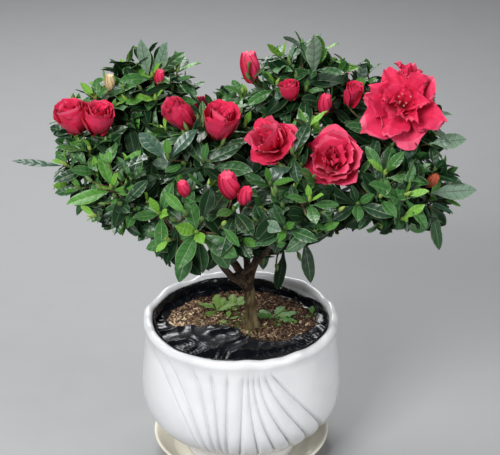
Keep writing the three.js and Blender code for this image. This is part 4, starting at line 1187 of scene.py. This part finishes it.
def bud_body(middle, axis, size, random):
    first, second = across_axis(axis)
    foot = middle - axis * (size * 0.46)
    phase = 2 * math.pi * random()
    points = []
    for row in range(BUD_ROWS):
        share = row / (BUD_ROWS - 1)
        girth = 0.31 * math.sin(math.pi * (0.09 + 0.74 * share)) ** 0.62
        for side in range(BUD_SIDES):
            roll = side % BUD_STEPS / (BUD_STEPS - 1)
            turn = phase + 2 * math.pi * side / BUD_SIDES - 1.1 * share
            frill = 0.05 * math.sin(2.4 * side + phase) * smooth(0.75, 1, share)
            radius = size * girth * (0.82 + 0.20 * roll)
            spot = foot + axis * (size * (0.95 * share + frill))
            points.append(tuple(spot + (first * math.cos(turn) + second * math.sin(turn)) * radius))
    return np.array(points)


def build_buds():
    buds = Gathered()
    materials = []
    for tone, (light, shade) in BUD_COLORS.items():
        materials += plain_materials("bud_" + tone, {"light": light, "shade": shade}, 1.2, 0.3)
    # The last strip of each furrow, where the petals overlap, takes the shade colour: painted shade.
    furrows = np.tile(np.arange(BUD_SIDES) % BUD_STEPS == BUD_STEPS - 1, BUD_ROWS - 1).astype(int)
    sides = grid_faces(BUD_ROWS, BUD_SIDES, closed=True)
    for kind, middle, faces, size, tone in FLOWERS:
        if kind != "bud":
            continue
        random = seeded(int(1000 + middle[0] * 7 + middle[1] * 3 + middle[2]))
        points = bud_body(Vector(middle), Vector(faces).normalized(), size, random)
        caps, middles = fan_caps(BUD_ROWS, BUD_SIDES, points)
        points = np.concatenate([points, middles])
        light = 2 * list(BUD_COLORS).index(tone)
        buds.add(points, sides, furrows + light)
        buds.add(points, caps, light)
    piece = buds.piece("flower_buds", materials)


# Twigs, sprays and what grows on them.
# The side that the crown shows, and its lower edge from there: place across and height.
FRONT = Vector((0, -0.901, 0.434))
CROWN_FOOT = [
    (-160, 240), (-137, 228), (-120, 224), (-103, 215), (-86, 205), (-69, 196), (-52, 181), (-35, 174),
    (-18, 178), (-1, 188), (33, 196), (51, 205), (85, 213), (153, 213), (170, 207), (199, 231),
]


def spray_tip(at, faces, size, tint, slack):
    facing = Vector(faces).normalized()
    return {"kind": "spray", "at": Vector(at), "faces": facing, "size": size, "tint": tint, "slack": slack}


def placed_tips():
    """The twig ends placed one by one, as in the solids."""
    tips = [spray_tip(*facts, slack=0.25) for facts in SPRAYS]
    for root, tip, width, tint in LONE_LEAVES:
        at = Vector(root)
        faces = ((at - HEART).normalized() + FRONT).normalized()
        tips.append({
            "kind": "leaf", "at": at, "tip": Vector(tip), "faces": faces, "width": width, "tint": tint,
        })
    for kind, at, faces, size, _ in FLOWERS:
        tips.append({"kind": kind, "at": Vector(at), "faces": Vector(faces).normalized(), "size": size})
    return tips


def seeded_tips(mass, own, random, rule):
    """Twig ends added at even turns all round a mass, where there is room for them."""
    outward = (mass.centre - HEART).normalized()
    wanted = len(own) + rule["count"]
    for number in range(rule["tried"]):
        if len(own) >= wanted:
            break
        height = 1 - (2 * number + 1) / rule["tried"]
        turn = number * GOLDEN_TURN + mass.seed + rule["turned"]
        flat = math.sqrt(1 - height * height)
        direction = Vector((flat * math.cos(turn), flat * math.sin(turn), height))
        share = mix(rule["near"], rule["far"], random())
        at = Vector([direction[axis] * mass.reach[axis] * share for axis in range(3)]) + mass.centre
        if direction.dot(outward) < rule["inward"]:
            continue
        if wall_room(mass, at) < rule["room"] or limb_room(at) < max(2, rule["room"]):
            continue
        if any((tip["at"] - at).length < rule["spacing"] for tip in own):
            continue
        faces = (direction * 0.7 + outward * 0.3 + UP * 0.45).normalized()
        own.append({"kind": "spray", "at": at, "faces": faces, "size": 40 * mix(0.85, 1.05, random())})


def joined_twigs(tips, stem_from, stem_to):
    """Each end, nearest first, joins the grown point that makes the shortest way back to the stem."""
    fork, tip_radius = TWIG["fork_share"], TWIG["tip"]
    length = (stem_to - stem_from).length
    radius = TWIG["stem"] * TWIG["taper"]
    grown = [(stem_from.lerp(stem_to, share), share * length, radius) for share in TWIG["stem_forks"]]
    found = []
    for tip in sorted(tips, key=lambda tip: (tip["at"] - stem_to).length):
        at = tip["at"]
        start, way, radius = min(grown, key=lambda node: (node[0] - at).length + TWIG["way_cost"] * node[1])
        start_radius = max(tip_radius * 1.2, radius * 0.62)
        fork_way = way + fork * (at - start).length
        grown.append((start.lerp(at, fork), fork_way, mix(start_radius, tip_radius, fork)))
        found.append((start, start_radius, tip))
    return found


def add_twig(start, end, faces, start_radius, end_radius, random):
    """A twig that leaves straight, wanders a little and turns the way its end faces, green at its end."""
    length = (end - start).length
    first, second = across_axis((end - start).normalized())
    sway = (first * (random() - 0.5) + second * (random() - 0.5)) * (0.16 * length)
    bend = end - faces * (0.35 * length)
    middle = start.lerp(end, 0.5) * 0.5 + bend * 0.5 + sway
    shares = [step / TWIG["steps"] for step in range(TWIG["steps"] + 1)]
    line = [curve_point(start, middle, end, share) for share in shares]
    points, sides = tube(line, [mix(start_radius, end_radius, share) for share in shares], TWIG["sides"])
    tones = np.zeros(len(sides), int)
    tones[len(sides) * 2 // 3:] = 1
    twigs.add(points, sides, tones)


def blocked(point, margin):
    """Whether a point lies in a flower, in the open space that it faces, or in front of it."""
    for middle, axis, size in flower_balls:
        away = point - middle
        in_front = 1.3 * size if axis.dot(FRONT) > 0 and middle.y < 40 else 0
        for way, reach in ((axis, 0.75 * size), (FRONT, in_front)):
            ahead = min(max(away.dot(way), 0), reach)
            if (away - way * ahead).length < margin * size:
                return True
    return False


def low_edge(point):
    """How far a point lies above the crown's lower edge, as the front shows it."""
    across, heights = zip(*CROWN_FOOT)
    return point.z - point.y * FRONT.z / FRONT.y - float(np.interp(point.x, across, heights))


def hides_spray(points, own):
    """Whether a point lies in front of another spray that stands out."""
    for at, _, size, _ in SPRAYS:
        heart = Vector(at)
        if (heart - own).length < 1:
            continue
        for point in points:
            away = point - heart
            ahead = min(max(away.dot(FRONT), 3), size)
            if (away - FRONT * ahead).length < 0.36 * size:
                return True
    return False


# The sizes at which a leaf is tried, and how low its tip may hang.
LEAF_SHRINKS = (1.0, 0.82, 0.66)
LOWEST_LEAF = 160


def fit_leaf(mass, leaf, slack, own):
    """The leaf at the largest size that keeps to its mass's reach and hides no flower, or None."""
    for shrink in LEAF_SHRINKS:
        length = leaf["length"] * shrink
        tip = leaf["root"] + leaf["along"] * length - leaf["face"] * (length * 0.5 * leaf["bend"])
        if reach_share(mass, tip) > 1.04 + slack or wall_room(mass, tip) < -9 - 50 * slack:
            continue
        if tip.z < LOWEST_LEAF or low_edge(tip) < 0:
            continue
        points = [leaf["root"].lerp(tip, share) for share in (0.3, 0.55, 0.8, 1)]
        if hides_spray(points, own) or any(blocked(point, 0.46) for point in points):
            continue
        return {**leaf, "length": length, "width": leaf["width"] * shrink ** 0.7}
    return None


# Tints within a spray: its old leaves, those between, and the young ones in its middle. Where the old leaves
# take the deep tint, that is painted shade under the spray.
NEXT_TINTS = {
    "lime": ("mid", "fresh", "lime"),
    "fresh": ("green", "mid", "lime"),
    "mid": ("green", "mid", "lime"),
    "green": ("dark", "green", "fresh"),
    "dark": ("deep", "dark", "mid"),
    "deep": ("deep", "deep", "dark"),
    "dusk": ("dark", "dusk", "fresh"),
    "grey": ("dusk", "grey", "mid"),
}


# How many leaves a spray has, and how many sepals and stamens a flower.
SPRAY_LEAVES = 10
FINE_SPRAY_LEAVES = 7
SEPALS = 5
STAMENS = 7


def grow_spray(mass, tip, random, count):
    """Leaves in a spiral round a bud: the lowest long and open, the newest short and upright."""
    axis, size, tint = tip["faces"], tip["size"], tip["tint"]
    broad = 0.43 if tint == "deep" else 0.33
    start = 2 * math.pi * random()
    for number in range(count):
        age = 1 - number / (count - 1)
        lean = mix(0.42, 1.62, age ** 0.8) + swing(random, 0.22)
        turn = start + number * GOLDEN_TURN + swing(random, 0.25)
        along = (leaning(axis, lean, turn) - UP * (0.16 * age)).normalized()
        length = size * mix(0.46, 1.0, min(1, age * 1.7) ** 0.8) * (0.90 + 0.2 * random())
        leaf = fit_leaf(mass, {
            "root": tip["at"] - axis * (9 * age) + along * 0.8,
            "along": along,
            "face": upper_face(axis, along),
            "length": length,
            "width": length * (broad + 0.09 * random()),
            "bend": mix(0.15, 0.55, age) + swing(random, 0.35),
            "twist": swing(random, 0.5),
            "fold": mix(0.75, 0.30, age) + 0.2 * random(),
            "wave": 2 * math.pi * random(),
        }, tip.get("slack", 0.06), tip["at"])
        if leaf:
            old, between, newest = NEXT_TINTS[tint]
            foliage[old if age > 0.72 else (between if age > 0.2 else newest)].append(leaf)
    tip_bud(tip["at"] + axis * 1.0, axis, 6.5 + 2 * random(), 1.9, tint)


def tip_bud(at, axis, length, radius, tint):
    """A small pointed bud at a spray's middle."""
    line = [at + axis * (length * share) for share in (0, 0.3, 0.65, 1)]
    radii = [radius * share for share in (0.8, 1, 0.7, 0.12)]
    # Buds on lime, fresh and mid sprays take the young colour and the rest the old one, so they follow the
    # sprays' tints, which are partly painted light and shade.
    young.add(*tube(line, radii, 6), 0 if tint in ("lime", "fresh", "mid") else 1)


def lone_leaf(tip, random):
    """A single leaf that ends at a placed tip."""
    bend = 0.25
    way = tip["tip"] - tip["at"]
    along = way.normalized()
    face = upper_face(tip["faces"], along)
    along = (along + face * (0.5 * bend)).normalized()
    foliage[tip["tint"]].append({
        "root": tip["at"], "along": along, "face": upper_face(face, along), "length": way.length * 1.01,
        "width": tip["width"], "bend": bend, "twist": swing(random, 0.2), "fold": 0.5, "wave": 1.0,
    })


def grow_sepals(middle, axis, size, foot_share, random):
    """Small green scales round a flower's foot."""
    root = middle - axis * (size * foot_share) - axis * 1.0
    start = 2 * math.pi * random()
    for number in range(SEPALS):
        along = leaning(axis, 0.75, start + 2 * math.pi * number / SEPALS)
        length = 4 + 0.16 * size
        foliage["fresh" if number % 2 else "mid"].append({
            "root": root, "along": along, "face": upper_face(axis, along), "length": length,
            "width": length * 0.42, "bend": -0.7, "twist": 0.0, "fold": 0.5, "wave": 2 * math.pi * random(),
        })


def grow_stamens(middle, axis, size, random):
    """Fine filaments with pale anthers."""
    foot = middle - axis * (size * 0.2)
    for number in range(STAMENS):
        along = leaning(axis, 0.12 + 0.30 * random(), number * GOLDEN_TURN)
        length = size * mix(0.14, 0.24, random())
        shares = (0, 0.35, 0.7, 1)
        line = [foot + along * (length * share) + axis * (length * 0.18 * share * share) for share in shares]
        stamens.add(*tube(line, [0.45, 0.4, 0.35, 0.3], 5), 0)
        knob = [line[-1] + axis * offset for offset in (-0.6, 0.1, 0.9, 1.5)]
        stamens.add(*tube(knob, [0.25, 0.85, 0.8, 0.15], 6), 1)


# Where each tint begins as a spray gets less light, from the darkest on.
LIGHT_TINTS = ((-0.2, "deep"), (0.25, "dark"), (0.52, "green"), (0.78, "mid"), (1.0, "fresh"))


def spray_tint(mass, at, random):
    """Young and bright near the crown's top and outside, dark towards its foot and heart, and now and then
    greyish.
    The tint follows the light a spray gets, so it is partly painted light and shade, and the pale grey is the
    lit copy of dusk with painted sheen.
    """
    light = (at.z - 245) / 110 * 0.75 + (reach_share(mass, at) - 0.55) * 1.1 + 1.1 * (random() - 0.5)
    if random() < 0.18:
        return "dusk" if light < 0.5 else "grey"
    return next((tint for limit, tint in LIGHT_TINTS if light < limit), "lime")


def mass_tips(mass, fine):
    """Every twig end of a mass: as in the solids, then the fillers, the finer sprays and those inside."""
    tips = [tip for tip in placed_tips() if wall_room(mass, tip["at"]) > 0]
    seeded_tips(mass, tips, seeded(mass.seed * 7919 + 13), SEEDED)
    fillers = [spray_tip(*facts, slack=0.4) for facts in FILLERS]
    tips += [tip for tip in fillers if wall_room(mass, tip["at"]) > 0]
    coarse = len(tips)
    seeded_tips(mass, tips, fine, FINE)
    outer = len(tips)
    seeded_tips(mass, tips, fine, INNER)
    for tip in tips[coarse:]:
        tip["fine"] = True
        tip["size"] *= 0.9
    # Sprays inside the crown take the deep or dark tint: painted shade in the crown's heart.
    for tip in tips[outer:]:
        tip["tint"] = "deep" if fine() < 0.6 else "dark"
    return tips


def grow_mass(mass):
    fine = seeded(mass.seed * 104729 + 7)
    stem_from = mass.entry + mass.along * GAP
    stem_to = stem_from + mass.along * max(12, (mass.centre - mass.entry).length)
    tips = mass_tips(mass, fine)
    stem_tip = TWIG["stem"] * TWIG["taper"]
    add_twig(stem_from - mass.along * 3, stem_to, mass.along, TWIG["stem"], stem_tip, fine)
    for start, radius, tip in joined_twigs(tips, stem_from, stem_to):
        at, axis, kind = tip["at"], tip["faces"], tip["kind"]
        if kind == "spray":
            tip.setdefault("tint", spray_tint(mass, at, fine))
            if not blocked(at, 0.36):
                add_twig(start, at + axis * 0.5, axis, radius, TWIG["tip"], fine)
                grow_spray(mass, tip, fine, FINE_SPRAY_LEAVES if "fine" in tip else SPRAY_LEAVES)
        elif kind == "leaf":
            add_twig(start, at + axis * 0.5, axis, radius, TWIG["tip"], fine)
            lone_leaf(tip, fine)
        else:
            size, foot_share = tip["size"], FLOWER_FOOT[kind]
            foot = at - axis * (size * foot_share)
            add_twig(start, foot + axis * 1.5, axis, radius, TWIG["tip"] * 1.4, fine)
            grow_sepals(at, axis, size, foot_share, fine)
            if kind != "bud":
                open_flowers.append(grow_flower(kind, at, axis, size, fine))
            if kind == "bloom":
                grow_stamens(at, axis, size, fine)


# Seedlings on the mix: foot, how many leaves, their length and tint.
SEEDLINGS = [
    ((-22, 34), 7, 15, "sprig"), ((-8, 40), 6, 16, "sprig"), ((-11, 18), 3, 9, "sprig"),
    ((29, 22), 8, 17, "fresh"), ((37, 12), 4, 11, "sprig"), ((64, 26), 3, 9, "fresh"),
]


def build_seedlings():
    random = seeded(2027)
    sprigs = {"sprig": [], "fresh": []}
    for (x, y), count, length, tint in SEEDLINGS:
        base = Vector((x, y, ground_height(x, y) + 0.8))
        for number in range(count):
            along = leaning(UP, 0.75 + 0.6 * random(), number * GOLDEN_TURN)
            own = length * (0.75 + 0.5 * random())
            root = base + along * 1.2 + UP * (1.5 * random())
            sprigs[tint].append({
                "root": root, "along": along, "face": upper_face(UP, along), "length": own,
                "width": own * 0.62, "bend": 0.5, "twist": swing(random, 0.5), "fold": 0.4,
                "wave": 6 * random(),
            })
    for tint, leaves in sprigs.items():
        leaf_piece("seedlings_" + tint, leaves, tint, LOBED_LEAF)


# Stage, lights and camera.
def build_camera():
    pitch = math.radians(CAMERA["pitch"])
    target = Vector(CAMERA["target"])
    place = target + Vector((0, -math.cos(pitch), math.sin(pitch))) * CAMERA["distance"]
    data = bpy.data.cameras.new("view")
    data.sensor_width = CAMERA["sensor"]
    data.lens = CAMERA["focal_pixels"] / PHOTO_WIDTH * CAMERA["sensor"]
    data.clip_start, data.clip_end = 0.05, 60
    camera = bpy.data.objects.new("view", data)
    camera.location = place * MM
    camera.rotation_euler = (math.pi / 2 - pitch, 0, 0)
    bpy.context.scene.collection.objects.link(camera)
    bpy.context.scene.camera = camera


def soft_light(name, place, power, size):
    """A square lamp that looks at the middle of the plant. Place and size are in metres, power in watts."""
    data = bpy.data.lights.new(name, "AREA")
    data.energy, data.size = power, size
    light = bpy.data.objects.new(name, data)
    light.location = place
    light.rotation_euler = (Vector((0, 0, 0.22)) - Vector(place)).to_track_quat("-Z", "Y").to_euler()
    bpy.context.scene.collection.objects.link(light)


def build_stage():
    half, low = 8000 * MM, -0.2 * MM
    corners = [(-half, -half, low), (half, -half, low), (half, half, low), (-half, half, low)]
    mesh = bpy.data.meshes.new("studio_floor")
    mesh.from_pydata(corners, [], [(0, 1, 2, 3)])
    floor = bpy.data.objects.new("studio_floor", mesh)
    bpy.context.scene.collection.objects.link(floor)
    material = new_material("studio_floor", (0.33, 0.335, 0.34), 0.6, specular=0.3)
    vary_roughness(material, 40, 0.55, 0.7)
    mesh.materials.append(material)
    soft_light("key", (-0.65, -1.15, 1.20), 27, 0.6)
    soft_light("fill", (1.15, -0.75, 0.75), 9, 0.9)
    soft_light("back", (-0.35, 0.95, 1.35), 24, 0.9)
    world = bpy.data.worlds.new("studio")
    world.use_nodes = True
    set_inputs(world.node_tree.nodes["Background"], {"Color": (0.93, 0.95, 1.0, 1), "Strength": 0.13})
    bpy.context.scene.world = world
    bpy.context.scene.view_settings.view_transform = "Standard"


masses = [Mass(number, *facts) for number, facts in enumerate(MASSES)]
limbs = grow_limbs()
limb_spots = [(limb.point(step / 24), limb.radius(step / 24)) for limb in limbs for step in range(25)]
flower_balls = [
    (Vector(at), Vector(faces).normalized(), size * (0.7 if kind == "bud" else 1))
    for kind, at, faces, size, _ in FLOWERS
]
foliage = {tint: [] for tint in TINTS}
open_flowers = []
twigs, young, stamens = Gathered(), Gathered(), Gathered()

build_camera()
build_stage()
build_saucer()
build_pot()
build_film()
build_mix()
build_bark()
for mass in masses:
    grow_mass(mass)
build_seedlings()
build_leaves()
build_petals()
build_buds()
twig_piece = twigs.piece("twigs", [
    bark_material("twig_bark", [(0.035, 0.022, 0.012), (0.095, 0.062, 0.032), (0.17, 0.12, 0.06)]),
    bark_material("young_twig", [(0.060, 0.075, 0.025), (0.120, 0.140, 0.045), (0.19, 0.20, 0.07)]),
])
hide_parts(*["leaves_" + mass.name for mass in masses])
bud_colors = {"young": (0.30, 0.42, 0.09), "old": (0.13, 0.22, 0.06)}
young_piece = young.piece("leaf_buds", plain_materials("leaf_bud", bud_colors, 1.0, 0.2))
stamen_colors = {"filament": (0.50, 0.020, 0.050), "anther": (0.62, 0.22, 0.20)}
stamen_piece = stamens.piece("stamens", plain_materials("stamen", stamen_colors, 0.6, 0.1))
